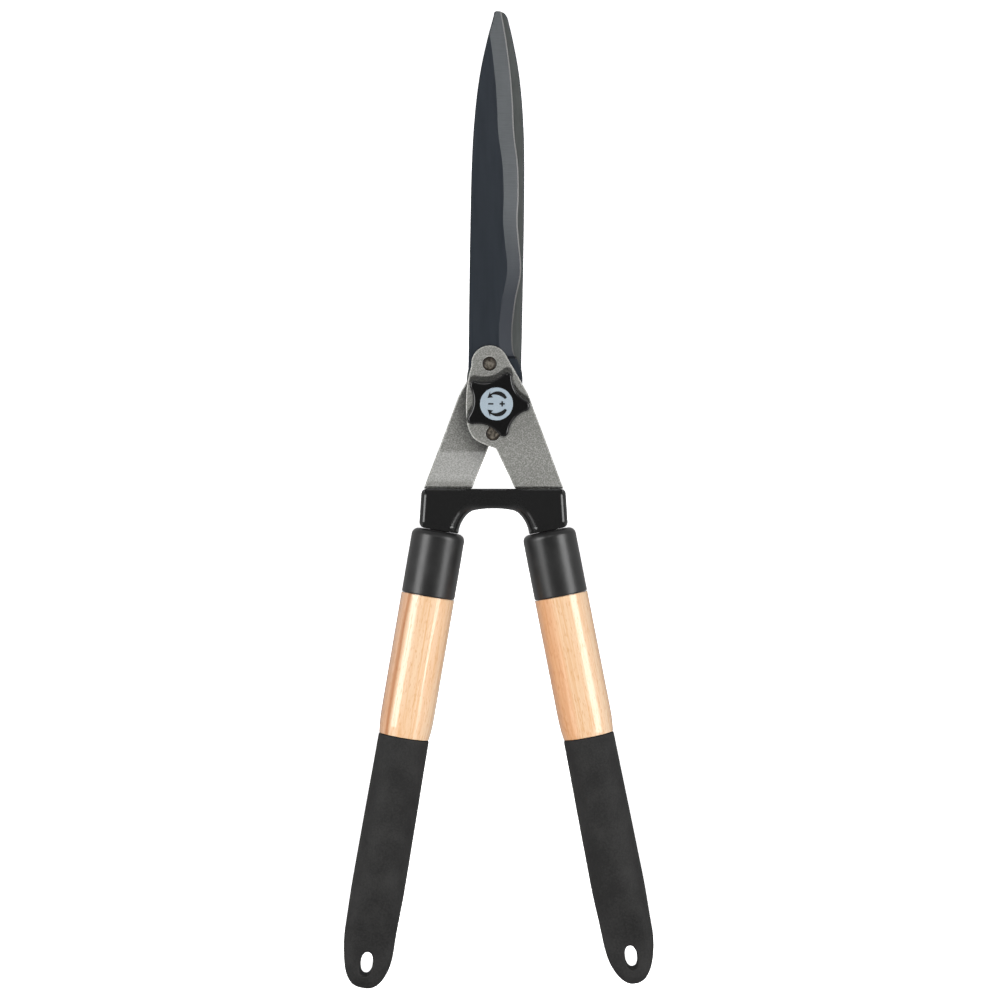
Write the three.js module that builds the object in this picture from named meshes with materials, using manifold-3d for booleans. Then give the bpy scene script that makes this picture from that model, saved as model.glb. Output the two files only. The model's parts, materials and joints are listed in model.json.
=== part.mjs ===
// Hedge shears, closed and lying on their back.
//
// The shears are drawn about their middle line, X = 0, with the pivot at Y = 0 and the
// plane in which the two blades slide on each other at Z = 0. +Y points to the blade tips
// and +Z out of the side that carries the tension knob. The finished group is then set
// down so that its origin is on the ground, under the middle of its bounding box.
// All lengths are in millimetres.

import * as THREE from 'three';
import { mergeVertices } from 'three/addons/utils/BufferGeometryUtils.js';
import Module from 'manifold-3d';

const wasm = await Module();
wasm.setup();

// ---------------------------------------------------------------- driving dimensions

const GAP = 0.3; // clearance between neighbouring pieces
const CURVE_STEPS = 8; // straight steps along each curve of an outline
const ROUND_STEPS = 32; // flats around a turned piece
const RIVET_STEPS = 18; // flats around a rivet
const PIVOT_X = 1.72; // the pivot sits a little to the right of the middle line

// Each half is drawn as the right half, whose blade and arm lie in front. The left half
// is the same set of pieces turned half a turn about the Y axis, with its own small
// differences, given here in that turned frame. gripRound is the rounded end of the grip
// seen from the front: how long it is, half its width, its power between an ellipse, 2,
// and a rounded rectangle, how far it leans towards the other grip, and its hang hole.
const RIGHT = {
  blade: 'front',
  side: 'right',
  pivotX: PIVOT_X,
  bladeLineX: 0.42,
  bladeLean: THREE.MathUtils.degToRad(0.92),
  handleLean: THREE.MathUtils.degToRad(11.1),
  handleTop: [31.4, -72.1],
  innerCorner: [1.3, -24.9],
  tipRadius: 1,
  gripEnd: 263.9,
  gripRound: { length: 30, halfWidth: 14.6, power: 2.1, shift: 0.5, holeFromEnd: 16 },
  squarePivot: false,
};
const LEFT = {
  blade: 'rear',
  side: 'left',
  pivotX: -PIVOT_X,
  bladeLineX: -0.42,
  bladeLean: THREE.MathUtils.degToRad(-0.92),
  handleLean: THREE.MathUtils.degToRad(9.7),
  handleTop: [31.2, -72.0],
  innerCorner: [2.2, -22.5],
  tipRadius: 4.4,
  gripEnd: 265.4,
  gripRound: { length: 34, halfWidth: 14.8, power: 2.55, shift: 1, holeFromEnd: 14.8 },
  squarePivot: true,
};

const BLADE = {
  thickness: 3.5,
  edgeThickness: 0.5,
  bevelStart: 29, // distance along the blade at which the ground bevel begins
  tip: 225.6,
};
const BLADE_FACE = GAP / 2; // height of the sliding face above the plane between the blades

const ARM = {
  thickness: 3,
  headCentre: [-2.2, 23.5],
  headRadius: 10.5,
  shoulderY: -47.5, // the wide plate ends here and the narrow tang goes on
  bendTopY: -24.5,
  bendBottomY: -46,
  tangWidth: 11,
  tangLength: 60, // depth of the tang below the top of the ferrule
};
const ARM_LOW = BLADE_FACE + BLADE.thickness + GAP;
const ARM_HIGH = ARM_LOW + ARM.thickness;

const RIVET = {
  upper: ARM.headCentre,
  lower: [-0.3, -16.4],
  shankRadius: 2.9,
  flareRadius: 3.9,
  flareDepth: 1,
  domeRadius: 3.8,
  domeHeight: 1.7,
};

const BOLT = {
  radius: 4,
  headRadius: 10,
  headHeight: 4.7,
  neckWidth: 8,
  top: 20.8,
  chamfer: 0.8,
};
const SPRING_WASHER = { inner: 4.6, outer: 9.5, thickness: 0.8, cone: 0.7 };
const THRUST_WASHER = { inner: 4.4, outer: 10.5, thickness: 1.6 };

const KNOB = {
  lobes: 5,
  firstLobe: -4, // direction of the first lobe, in degrees
  reach: 19, // radius to the end of a lobe
  lobeRadius: 3, // rounding of each lobe's end
  valleyRadius: 13.3,
  height: 13.55,
  draft: 0.5, // how much wider the base is than the top edge
  crown: 1.8, // height and width of the rounding at the top edge
  labelRadius: 9.3,
  labelThickness: 0.5,
  boreDepth: 11.2,
  nutAcrossFlats: 13,
  nutHeight: 6.5,
};

const BUMPER = {
  topY: -47.85,
  bottomHalfWidth: 11.2,
  bridgeBottomY: -59.2,
  halfThickness: 9,
  edgeRadius: 2.6,
};

const FERRULE = { radius: 15.3, length: 37.5, shoulder: 3.2, wall: 1.5, roof: 2.5 };
const WOOD = { radius: 15.35, topRadius: 13.4, bottomRadius: 11.7, end: 205 };
const GRIP = {
  start: 119.5,
  startRadius: 14.6,
  radius: 15.3,
  flatStart: 212,
  flatEnd: 240,
  tabHalfThickness: 7.8,
  holeHalfWidth: 3.6,
  holeHalfLength: 6.9,
};

// ------------------------------------------------------------------- shape helpers

/** A manifold solid from a closed three.js geometry. */
function toSolid(geometry) {
  const bare = new THREE.BufferGeometry();
  bare.setAttribute('position', geometry.getAttribute('position'));
  bare.setIndex(geometry.getIndex());
  const merged = mergeVertices(bare, 1e-4);
  const corners = merged.getIndex().array;
  const kept = [];
  for (let i = 0; i < corners.length; i += 3) {
    const [a, b, c] = corners.slice(i, i + 3);
    if (a !== b && b !== c && c !== a) kept.push(a, b, c);
  }
  return new wasm.Manifold(new wasm.Mesh({
    numProp: 3,
    vertProperties: merged.getAttribute('position').array,
    triVerts: new Uint32Array(kept),
  }));
}

/** A three.js mesh of a manifold solid. */
function toMesh(name, solid, material) {
  const { vertProperties, triVerts } = solid.getMesh();
  const indexed = new THREE.BufferGeometry();
  indexed.setAttribute('position', new THREE.BufferAttribute(vertProperties, 3));
  indexed.setIndex(new THREE.BufferAttribute(triVerts, 1));
  const geometry = indexed.toNonIndexed();
  geometry.computeVertexNormals();
  const mesh = new THREE.Mesh(geometry, material);
  mesh.name = name;
  return mesh;
}

/** A plate with an XY outline, between two heights. */
function plate(shape, low, high) {
  const options = { depth: high - low, bevelEnabled: false, curveSegments: CURVE_STEPS };
  return toSolid(new THREE.ExtrudeGeometry(shape, options).translate(0, 0, low));
}

/** A body with a YZ side outline, reaching halfWidth to either side of X = 0. */
function sideProfile(shape, halfWidth) {
  const options = { depth: 2 * halfWidth, bevelEnabled: false, curveSegments: CURVE_STEPS };
  const yzx = new THREE.Matrix4().makeBasis(
    new THREE.Vector3(0, 1, 0),
    new THREE.Vector3(0, 0, 1),
    new THREE.Vector3(1, 0, 0),
  );
  const geometry = new THREE.ExtrudeGeometry(shape, options);
  return toSolid(geometry.translate(0, 0, -halfWidth).applyMatrix4(yzx));
}

/** A body turned about Y. The profile lists [radius, y] with its outside going up. */
function turned(profile, steps = ROUND_STEPS) {
  const points = profile.map(([radius, y]) => new THREE.Vector2(radius, y));
  return toSolid(new THREE.LatheGeometry(points, steps));
}

/** A body turned about a vertical axis at x, y. The profile lists [radius, z]. */
function turnedAbout([x, y], profile, steps = ROUND_STEPS) {
  const points = profile.map(([radius, z]) => new THREE.Vector2(radius, z));
  const geometry = new THREE.LatheGeometry(points, steps);
  return toSolid(geometry.rotateX(Math.PI / 2).translate(x, y, 0));
}

/** A round or, with few sides, a many-cornered post along Z. */
function post([x, y], radius, low, high, sides = ROUND_STEPS, turn = 0) {
  const geometry = new THREE.CylinderGeometry(radius, radius, high - low, sides);
  geometry.rotateX(Math.PI / 2).rotateZ(turn);
  return toSolid(geometry.translate(x, y, (low + high) / 2));
}

/** A box given by its lowest and highest corners. */
function box([x0, y0, z0], [x1, y1, z1]) {
  const geometry = new THREE.BoxGeometry(x1 - x0, y1 - y0, z1 - z0);
  return toSolid(geometry.translate((x0 + x1) / 2, (y0 + y1) / 2, (z0 + z1) / 2));
}

/** A closed body through rings of points that turn by the right hand about the way on. */
function loft(rings) {
  const count = rings[0].length;
  const points = rings.flat();
  const triangles = [];
  const firstCentre = points.length;
  const lastCentre = firstCentre + 1;
  const lastStart = (rings.length - 1) * count;
  for (const ring of [rings[0], rings[rings.length - 1]]) {
    const centre = new THREE.Vector3();
    ring.forEach((point) => centre.add(point));
    points.push(centre.divideScalar(count));
  }
  for (let i = 0; i < count; i++) {
    const next = (i + 1) % count;
    for (let start = 0; start < lastStart; start += count) {
      triangles.push(start + i, start + next, start + count + next);
      triangles.push(start + i, start + count + next, start + count + i);
    }
    triangles.push(firstCentre, next, i);
    triangles.push(lastCentre, lastStart + i, lastStart + next);
  }
  const geometry = new THREE.BufferGeometry().setFromPoints(points);
  geometry.setIndex(triangles);
  return toSolid(geometry);
}

/** A smooth curve y(x) through a short list of [x, y] points, level beyond its ends. */
function smooth(points) {
  const slope = (i) => {
    const before = points[Math.max(i - 1, 0)];
    const after = points[Math.min(i + 1, points.length - 1)];
    return (after[1] - before[1]) / (after[0] - before[0]);
  };
  return (x) => {
    if (x <= points[0][0]) return points[0][1];
    const i = points.findIndex((point) => x < point[0]) - 1;
    if (i < 0) return points[points.length - 1][1];
    const [x0, y0] = points[i];
    const [x1, y1] = points[i + 1];
    const width = x1 - x0;
    const t = (x - x0) / width;
    const start = (1 + 2 * t) * (1 - t) ** 2 * y0 + t * (1 - t) ** 2 * width * slope(i);
    const end = t * t * (3 - 2 * t) * y1 + t * t * (t - 1) * width * slope(i + 1);
    return start + end;
  };
}

/** Points of a quarter or other stretch of an ellipse, as [x, y] pairs. */
function arcPoints([x, y], [rx, ry], fromDeg, toDeg, steps) {
  return Array.from({ length: steps + 1 }, (_, i) => {
    const angle = THREE.MathUtils.degToRad(fromDeg + ((toDeg - fromDeg) * i) / steps);
    return [x + rx * Math.cos(angle), y + ry * Math.sin(angle)];
  });
}

function shapeOf(points) {
  return new THREE.Shape(points.map(([x, y]) => new THREE.Vector2(x, y)));
}

/** Goes on with a smooth curve through the points. */
function curveOn(shape, points) {
  shape.splineThru(points.map(([x, y]) => new THREE.Vector2(x, y)));
}

function circleHole([x, y], radius) {
  return new THREE.Path().absarc(x, y, radius, 0, 2 * Math.PI, true);
}

function squareHole([x, y], width) {
  const r = width / 2;
  const corners = [[x - r, y - r], [x - r, y + r], [x + r, y + r], [x + r, y - r]];
  return new THREE.Path(corners.map(([cx, cy]) => new THREE.Vector2(cx, cy)));
}

// ------------------------------------------------------------------------ blades

// Outline of a blade, across and along its own middle line: half its width to the spine,
// the wavy cutting edge, and how wide the bevel is ground.
const spineOffset = smooth([
  [25, 15.2], [95, 15.4], [143, 15], [170, 13.5], [191, 11], [209, 7.4], [223, 3.9],
]);
const edgeOffset = smooth([
  [25, 11.3], [43, 9.8], [60, 11.4], [77, 14.2], [95, 12.6], [106, 11.7], [121, 12.1],
  [138, 11.4], [156, 9], [175, 7.8], [192, 6.1], [209, 3.65], [226, 0.4],
]);
const bevelWidth = smooth([[30, 7.7], [100, 8.3], [150, 9.2]]);

/** Half the blade's width towards the spine, rounded off at the tip. */
function spineAt(along, tipRadius) {
  const roundFrom = BLADE.tip - tipRadius;
  const into = THREE.MathUtils.clamp((along - roundFrom) / tipRadius, 0, 1);
  const rounding = tipRadius * (1 - Math.sqrt(1 - into * into));
  return Math.max(spineOffset(along) - rounding, 0.2);
}

/** The ground part of the blade: one five-cornered section after another. */
function groundBlade(tipRadius) {
  const straight = Array.from({ length: 31 }, (_, i) => BLADE.bevelStart + i * 6);
  const towardsTip = [213, 217, 220, 222.5, 224.2, 225.2, BLADE.tip];
  const low = BLADE_FACE;
  const high = low + BLADE.thickness;
  return loft([...straight, ...towardsTip].map((along) => {
    const spine = -spineAt(along, tipRadius);
    const edge = Math.max(edgeOffset(along), spine + 0.6);
    const bevel = Math.max(edge - bevelWidth(along), spine + 0.3);
    return [
      new THREE.Vector3(spine, along, high),
      new THREE.Vector3(bevel, along, high),
      new THREE.Vector3(edge, along, low + BLADE.edgeThickness),
      new THREE.Vector3(edge, along, low),
      new THREE.Vector3(spine, along, low),
    ];
  }));
}

/** The flat heel of the blade, which the arm and the pivot pass through. */
function bladeHeel() {
  const shape = new THREE.Shape();
  const heelRadius = 8.2;
  shape.moveTo(-15.2, 30);
  shape.lineTo(-15.1, 19);
  curveOn(shape, [[-14.3, 5], [-12, -5], [-0.5 - heelRadius, -15.5]]);
  shape.absarc(-0.5, -15.5, heelRadius, Math.PI, 2 * Math.PI, false);
  curveOn(shape, [[14.2, -9.8], [16.8, 0], [16.9, 10.3], [16.1, 18.8]]);
  curveOn(shape, [[12.4, 27], [10.6, 31]]);
  shape.lineTo(3, 31);
  shape.closePath();
  return plate(shape, BLADE_FACE, BLADE_FACE + BLADE.thickness);
}

function bladeSolid(half) {
  const lean = THREE.MathUtils.radToDeg(-half.bladeLean);
  return groundBlade(half.tipRadius)
    .add(bladeHeel())
    .rotate([0, 0, lean])
    .translate([half.bladeLineX, 0, 0])
    .subtract(post([half.pivotX, 0], BOLT.radius + GAP, -1, ARM_LOW))
    .subtract(rivetHole(RIVET.upper))
    .subtract(rivetHole(RIVET.lower));
}

// ------------------------------------------------------------------- arms and rivets

/** A point at a distance down the handle's axis and across it. */
function onHandle(half, down, across) {
  const along = new THREE.Vector2(Math.sin(half.handleLean), -Math.cos(half.handleLean));
  const sideways = new THREE.Vector2(-along.y, along.x);
  const top = new THREE.Vector2(...half.handleTop);
  return top.addScaledVector(along, down).addScaledVector(sideways, across);
}

/** The arm seen from the front: round head, wide plate and narrow tang. */
function armOutline(half) {
  const [headX, headY] = ARM.headCentre;
  const halfTang = ARM.tangWidth / 2;
  const tangTop = (ARM.shoulderY - half.handleTop[1]) / -Math.cos(half.handleLean);
  const shape = new THREE.Shape();
  shape.absarc(headX, headY, ARM.headRadius, 0.52, 3.25, false);
  curveOn(shape, [[-15.1, 12], [-15.8, -2], [-14.6, -13], [-10.4, -19.9], [-2.2, -23.8]]);
  shape.lineTo(...half.innerCorner);
  shape.lineTo(12.4, ARM.shoulderY);
  for (const [down, across] of [
    [tangTop, -halfTang],
    [ARM.tangLength, -halfTang],
    [ARM.tangLength, halfTang],
    [tangTop, halfTang],
  ]) {
    const { x, y } = onHandle(half, down, across);
    shape.lineTo(x, down === tangTop ? ARM.shoulderY : y);
  }
  shape.lineTo(40.1, ARM.shoulderY);
  shape.lineTo(20.4, 4.6);
  shape.quadraticCurveTo(19.7, 6.4, 18.2, 7.6);
  shape.closePath();
  const pivot = [half.pivotX, 0];
  const clear = 2 * GAP;
  const square = squareHole(pivot, BOLT.neckWidth + clear);
  shape.holes = [
    half.squarePivot ? square : circleHole(pivot, BOLT.radius + GAP),
    circleHole(RIVET.upper, RIVET.shankRadius + GAP),
    circleHole(RIVET.lower, RIVET.shankRadius + GAP),
  ];
  return shape;
}

/** The arm seen from its edge: it bends from the front of its blade to the middle plane. */
function armBend() {
  const rise = ARM_LOW + ARM.thickness / 2;
  const bendAngle = Math.atan2(rise, ARM.bendTopY - ARM.bendBottomY);
  const corner = ARM.thickness * Math.tan(bendAngle / 2);
  const half = ARM.thickness / 2;
  return shapeOf([
    [40, ARM_HIGH],
    [ARM.bendTopY, ARM_HIGH],
    [ARM.bendBottomY, half],
    [-140, half],
    [-140, -half],
    [ARM.bendBottomY + corner, -half],
    [ARM.bendTopY + corner, ARM_LOW],
    [40, ARM_LOW],
  ]);
}

function armSolid(half) {
  const flat = plate(armOutline(half), -10, 10);
  return flat.intersect(sideProfile(armBend(), 60));
}

/** The hole that a rivet fills, flared where it is closed flush with the blade's face. */
function rivetHole(centre) {
  const radius = RIVET.shankRadius + GAP;
  const flare = RIVET.flareRadius + GAP;
  return turnedAbout(centre, [
    [0, BLADE_FACE - 1],
    [flare, BLADE_FACE - 1],
    [flare, BLADE_FACE],
    [radius, BLADE_FACE + RIVET.flareDepth],
    [radius, ARM_HIGH + 1],
    [0, ARM_HIGH + 1],
  ], RIVET_STEPS);
}

function rivetSolid(centre) {
  const underDome = ARM_HIGH + GAP;
  return turnedAbout(centre, [
    [0, BLADE_FACE],
    [RIVET.flareRadius, BLADE_FACE],
    [RIVET.shankRadius, BLADE_FACE + RIVET.flareDepth],
    [RIVET.shankRadius, underDome],
    ...arcPoints([0, underDome], [RIVET.domeRadius, RIVET.domeHeight], 0, 90, 4),
  ], RIVET_STEPS);
}

// --------------------------------------------------------------------- pivot stack

const SPRING_LOW = ARM_HIGH + GAP;
const THRUST_LOW = SPRING_LOW + SPRING_WASHER.thickness + SPRING_WASHER.cone + GAP;
const KNOB_LOW = THRUST_LOW + THRUST_WASHER.thickness + GAP;
const KNOB_HIGH = KNOB_LOW + KNOB.height;
const PIVOT = [PIVOT_X, 0];

/** Carriage bolt: domed head at the back and a square neck held by the rear arm. */
function pivotBolt() {
  const headFace = -ARM_HIGH - GAP;
  const halfNeck = BOLT.neckWidth / 2;
  const domeHeight = BOLT.headHeight - 1;
  const dome = arcPoints([0, headFace - 1], [BOLT.headRadius, domeHeight], -90, 0, 8);
  const body = turnedAbout(PIVOT, [
    ...dome,
    [BOLT.headRadius, headFace],
    [BOLT.radius, headFace],
    [BOLT.radius, BOLT.top - BOLT.chamfer],
    [BOLT.radius - BOLT.chamfer, BOLT.top],
    [0, BOLT.top],
  ]);
  const neck = box(
    [PIVOT_X - halfNeck, -halfNeck, headFace - 0.5],
    [PIVOT_X + halfNeck, halfNeck, -ARM_LOW - 0.2],
  );
  return body.add(neck);
}

/** Cone-shaped spring washer that keeps the blades pressed together. */
function springWasher() {
  const { inner, outer, thickness, cone } = SPRING_WASHER;
  return turnedAbout(PIVOT, [
    [inner, SPRING_LOW + cone],
    [outer, SPRING_LOW],
    [outer, SPRING_LOW + thickness],
    [inner, SPRING_LOW + cone + thickness],
    [inner, SPRING_LOW + cone],
  ]);
}

function thrustWasher() {
  const { inner, outer, thickness } = THRUST_WASHER;
  return turnedAbout(PIVOT, [
    [inner, THRUST_LOW],
    [outer, THRUST_LOW],
    [outer, THRUST_LOW + thickness],
    [inner, THRUST_LOW + thickness],
    [inner, THRUST_LOW],
  ]);
}

/**
 * One level of the star knob's outline, grown or shrunk by an amount: five round lobe ends
 * joined by hollows, each hollow an arc that touches the two lobe ends beside it.
 */
function starRing(height, grow) {
  const { lobes, firstLobe, reach, lobeRadius, valleyRadius } = KNOB;
  const pitch = 360 / lobes;
  const toHollow = THREE.MathUtils.degToRad(pitch / 2);
  const lobeCentre = reach - lobeRadius;
  const neck = valleyRadius - lobeRadius;
  const hollowCentre = (lobeCentre ** 2 - neck ** 2) / (2 * (lobeCentre * Math.cos(toHollow) - neck));
  const hollowRadius = hollowCentre - valleyRadius - grow;
  const sideX = hollowCentre * Math.cos(toHollow) - lobeCentre;
  const sideY = hollowCentre * Math.sin(toHollow);
  const spread = THREE.MathUtils.radToDeg(Math.atan2(sideY, sideX));
  const hollowSpread = spread - pitch / 2;
  const polar = (radius, degrees) => {
    const angle = THREE.MathUtils.degToRad(degrees);
    return [PIVOT_X + radius * Math.cos(angle), radius * Math.sin(angle)];
  };
  const round = [lobeRadius + grow, lobeRadius + grow];
  const hollow = [hollowRadius, hollowRadius];
  const ring = [];
  for (let lobe = 0; lobe < lobes; lobe++) {
    const out = firstLobe + lobe * pitch;
    const back = out + pitch / 2 + 180;
    ring.push(...arcPoints(polar(lobeCentre, out), round, out - spread, out + spread, 6));
    const valley = arcPoints(
      polar(hollowCentre, out + pitch / 2), hollow, back + hollowSpread, back - hollowSpread, 7,
    );
    ring.push(...valley.slice(1, -1));
  }
  return ring.map(([x, y]) => new THREE.Vector3(x, y, height));
}

function hexagon(acrossFlats, low, high) {
  return post(PIVOT, acrossFlats / Math.sqrt(3), low, high, 6);
}

function knobSolid() {
  const { draft, crown } = KNOB;
  const labelFloor = KNOB_HIGH - KNOB.labelThickness - GAP;
  const star = loft([
    starRing(KNOB_LOW, draft),
    starRing(KNOB_HIGH - crown, 0),
    starRing(KNOB_HIGH - crown * 0.3, -crown * 0.3),
    starRing(KNOB_HIGH, -crown),
  ]);
  return star
    .subtract(post(PIVOT, BOLT.radius + GAP, KNOB_LOW - 1, KNOB_LOW + KNOB.boreDepth))
    .subtract(hexagon(KNOB.nutAcrossFlats + 2 * GAP, KNOB_LOW - 1, KNOB_LOW + KNOB.nutHeight + GAP))
    .subtract(post(PIVOT, KNOB.labelRadius + GAP, labelFloor, KNOB_HIGH + 1));
}

function knobNut() {
  const bore = post(PIVOT, BOLT.radius + GAP, KNOB_LOW - 1, KNOB_LOW + KNOB.nutHeight + 1);
  return hexagon(KNOB.nutAcrossFlats, KNOB_LOW, KNOB_LOW + KNOB.nutHeight).subtract(bore);
}

function knobLabel() {
  return post(PIVOT, KNOB.labelRadius, KNOB_HIGH - KNOB.labelThickness, KNOB_HIGH);
}

// ---------------------------------------------------------- bumpers, handles and grips

/** The slot that a tang fills, as a box along the handle's own axis. */
function tangSlot(start, end) {
  const halfWidth = ARM.tangWidth / 2 + GAP;
  const halfThickness = ARM.thickness / 2 + GAP;
  return box([-halfWidth, -end, -halfThickness], [halfWidth, -start, halfThickness]);
}

/** Moulded stop around the arm: the two meet on the middle line when the blades close. */
function bumperSolid(half) {
  const { topY, bottomHalfWidth, bridgeBottomY, halfThickness, edgeRadius } = BUMPER;
  const seam = GAP / 2;
  const inner = onHandle(half, -GAP, -bottomHalfWidth);
  const outer = onHandle(half, -GAP, bottomHalfWidth - 1);
  const shape = new THREE.Shape();
  shape.moveTo(seam, bridgeBottomY);
  shape.lineTo(5.3, bridgeBottomY - 0.2);
  curveOn(shape, [[11.8, -60.5], [15.5, -63.1], [18.4, -67.4]]);
  shape.lineTo(inner.x, inner.y + 2);
  shape.lineTo(inner.x + 0.8, inner.y);
  shape.lineTo(outer.x, outer.y);
  shape.quadraticCurveTo(outer.x + 1.3, outer.y + 0.4, 42.3, outer.y + 2.6);
  shape.quadraticCurveTo(42, -60, 40.7, -51);
  shape.quadraticCurveTo(40, topY, 37.4, topY);
  shape.lineTo(seam, topY);
  const radii = [edgeRadius, edgeRadius];
  const roundY = topY - edgeRadius;
  const roundZ = halfThickness - edgeRadius;
  const edgeView = shapeOf([
    [-80, -halfThickness],
    ...arcPoints([roundY, -roundZ], radii, -90, 0, 4),
    ...arcPoints([roundY, roundZ], radii, 0, 90, 4),
    [-80, halfThickness],
  ]);
  const block = plate(shape, -halfThickness, halfThickness).intersect(sideProfile(edgeView, 60));
  const slot = tangSlot(-40, 10)
    .rotate([0, 0, THREE.MathUtils.radToDeg(half.handleLean)])
    .translate([...half.handleTop, 0]);
  return block.subtract(slot);
}

/** Moulded cap over the top of the wood, with a slot in its roof for the tang. */
function ferruleSolid() {
  const { radius, length, shoulder, wall, roof } = FERRULE;
  const cap = turned([
    [0, -roof],
    [radius - wall, -roof],
    [radius - wall, -length],
    [radius, -length],
    ...arcPoints([radius - shoulder, -shoulder], [shoulder, shoulder], 0, 90, 5),
    [0, 0],
  ]);
  return cap.subtract(tangSlot(-5, 10));
}

/** Turned wood: a spigot under the ferrule, the bare barrel and a spigot in the grip. */
function woodSolid() {
  const { radius, topRadius, bottomRadius, end } = WOOD;
  const barrel = turned([
    [0, -end],
    [bottomRadius - 1.5, -end],
    [bottomRadius, -end + 1.5],
    [bottomRadius, -GRIP.start + GAP],
    [GRIP.startRadius - 0.2, -GRIP.start + GAP],
    [radius - 0.3, -GRIP.start + 5],
    [radius, -GRIP.start + 12],
    [radius, -FERRULE.length - GAP],
    [topRadius, -FERRULE.length - GAP],
    [topRadius, -FERRULE.roof - GAP],
    [0, -FERRULE.roof - GAP],
  ]);
  return barrel.subtract(tangSlot(0, ARM.tangLength + 1));
}

/** The grip seen from the front: straight sides and a rounded end that leans inwards. */
function gripOutline(half) {
  const { length, halfWidth, power, shift } = half.gripRound;
  const roundStart = half.gripEnd - length;
  const steps = 32;
  const points = Array.from({ length: steps + 1 }, (_, i) => {
    const angle = (Math.PI * i) / steps;
    const across = Math.sign(Math.cos(angle)) * Math.abs(Math.cos(angle)) ** (2 / power);
    const down = Math.sin(angle) ** (2 / power);
    const leaning = shift * THREE.MathUtils.smoothstep(down, 0, 0.62);
    return [-halfWidth * across - leaning, -roundStart - length * down];
  });
  const top = -GRIP.start + 1;
  const widest = -roundStart + 12;
  return shapeOf([[20, top], [-20, top], [-16, widest], ...points, [16, widest]]);
}

/** The grip seen from its edge: round, then thinned to the flat tab with the hang hole. */
function gripThickness(half) {
  const { start, flatStart, flatEnd, tabHalfThickness, radius } = GRIP;
  const full = radius + 0.5; // a little above the round part, which it leaves alone
  const drop = full - tabHalfThickness;
  const upper = Array.from({ length: 9 }, (_, i) => {
    const t = i / 8;
    const eased = t * t * (3 - 2 * t);
    return [-flatStart - t * (flatEnd - flatStart), full - drop * eased];
  });
  const top = [[-start + 5, full], ...upper, [-half.gripEnd - 5, tabHalfThickness]];
  const bottom = top.map(([y, z]) => [y, -z]).reverse();
  return shapeOf([...top, ...bottom]);
}

/** Moulded rubber sleeve over the lower spigot, closed by a flat tab with a hang hole. */
function gripSolid(half) {
  const { start, startRadius, radius, holeHalfWidth, holeHalfLength } = GRIP;
  const bottom = -half.gripEnd - 5;
  const sleeve = turned([
    [0, bottom],
    [14.8, bottom],
    [14.8, -232],
    [radius, -205],
    [15, -165],
    [startRadius, -start - 1],
    [startRadius - 0.6, -start],
    [0, -start],
  ]);
  const boreRadius = WOOD.bottomRadius + GAP;
  const bore = turned([
    [0, -WOOD.end - 1],
    [boreRadius, -WOOD.end - 1],
    [boreRadius, 0],
    [0, 0],
  ]);
  const { shift, holeFromEnd } = half.gripRound;
  const holeCentre = [-0.8 * shift, holeFromEnd - half.gripEnd];
  const hole = shapeOf(arcPoints(holeCentre, [holeHalfWidth, holeHalfLength], 0, 345, 23));
  return sleeve
    .intersect(plate(gripOutline(half), -30, 30))
    .intersect(sideProfile(gripThickness(half), 30))
    .subtract(bore)
    .subtract(plate(hole, -30, 30));
}

// ----------------------------------------------------------------------- materials

function finish(color, roughness, metalness) {
  return new THREE.MeshStandardMaterial({ color, roughness, metalness });
}

const bladeSteel = finish(0x343a42, 0.35, 0.7);
const armPaint = finish(0x96978f, 0.55, 0.4);
const rivetSteel = finish(0x4c4239, 0.4, 0.8);
const boltSteel = finish(0xb4b8bc, 0.3, 0.9);
const knobPlastic = finish(0x141416, 0.15, 0);
const labelFilm = finish(0xbacddb, 0.3, 0.1);
const bumperPlastic = finish(0x1a1a1b, 0.25, 0);
const ferrulePlastic = finish(0x353535, 0.55, 0);
const clearedWood = finish(0xe8c9a2, 0.3, 0);
const gripRubber = finish(0x343333, 0.85, 0);

// ------------------------------------------------------------------------ assembly

function halfOfShears(half) {
  const group = new THREE.Group();
  group.add(toMesh(`${half.blade}_blade`, bladeSolid(half), bladeSteel));
  group.add(toMesh(`${half.blade}_arm`, armSolid(half), armPaint));
  group.add(toMesh(`${half.blade}_upper_rivet`, rivetSolid(RIVET.upper), rivetSteel));
  group.add(toMesh(`${half.blade}_lower_rivet`, rivetSolid(RIVET.lower), rivetSteel));
  group.add(toMesh(`${half.side}_bumper`, bumperSolid(half), bumperPlastic));
  const handle = new THREE.Group();
  handle.position.set(...half.handleTop, 0);
  handle.rotation.z = half.handleLean;
  handle.add(toMesh(`${half.side}_ferrule`, ferruleSolid(), ferrulePlastic));
  handle.add(toMesh(`${half.side}_handle`, woodSolid(), clearedWood));
  handle.add(toMesh(`${half.side}_grip`, gripSolid(half), gripRubber));
  group.add(handle);
  return group;
}

const shears = new THREE.Group();
const rightHalf = halfOfShears(RIGHT);
const leftHalf = halfOfShears(LEFT);
leftHalf.rotation.y = Math.PI;
shears.add(rightHalf, leftHalf);
shears.add(toMesh('pivot_bolt', pivotBolt(), boltSteel));
shears.add(toMesh('spring_washer', springWasher(), boltSteel));
shears.add(toMesh('thrust_washer', thrustWasher(), boltSteel));
shears.add(toMesh('knob', knobSolid(), knobPlastic));
shears.add(toMesh('knob_nut', knobNut(), boltSteel));
shears.add(toMesh('knob_label', knobLabel(), labelFilm));

shears.updateMatrixWorld(true);
const bounds = new THREE.Box3().setFromObject(shears, true);
const centre = bounds.getCenter(new THREE.Vector3());
shears.position.set(-centre.x, -centre.y, -bounds.min.z);

export default shears;
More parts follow.
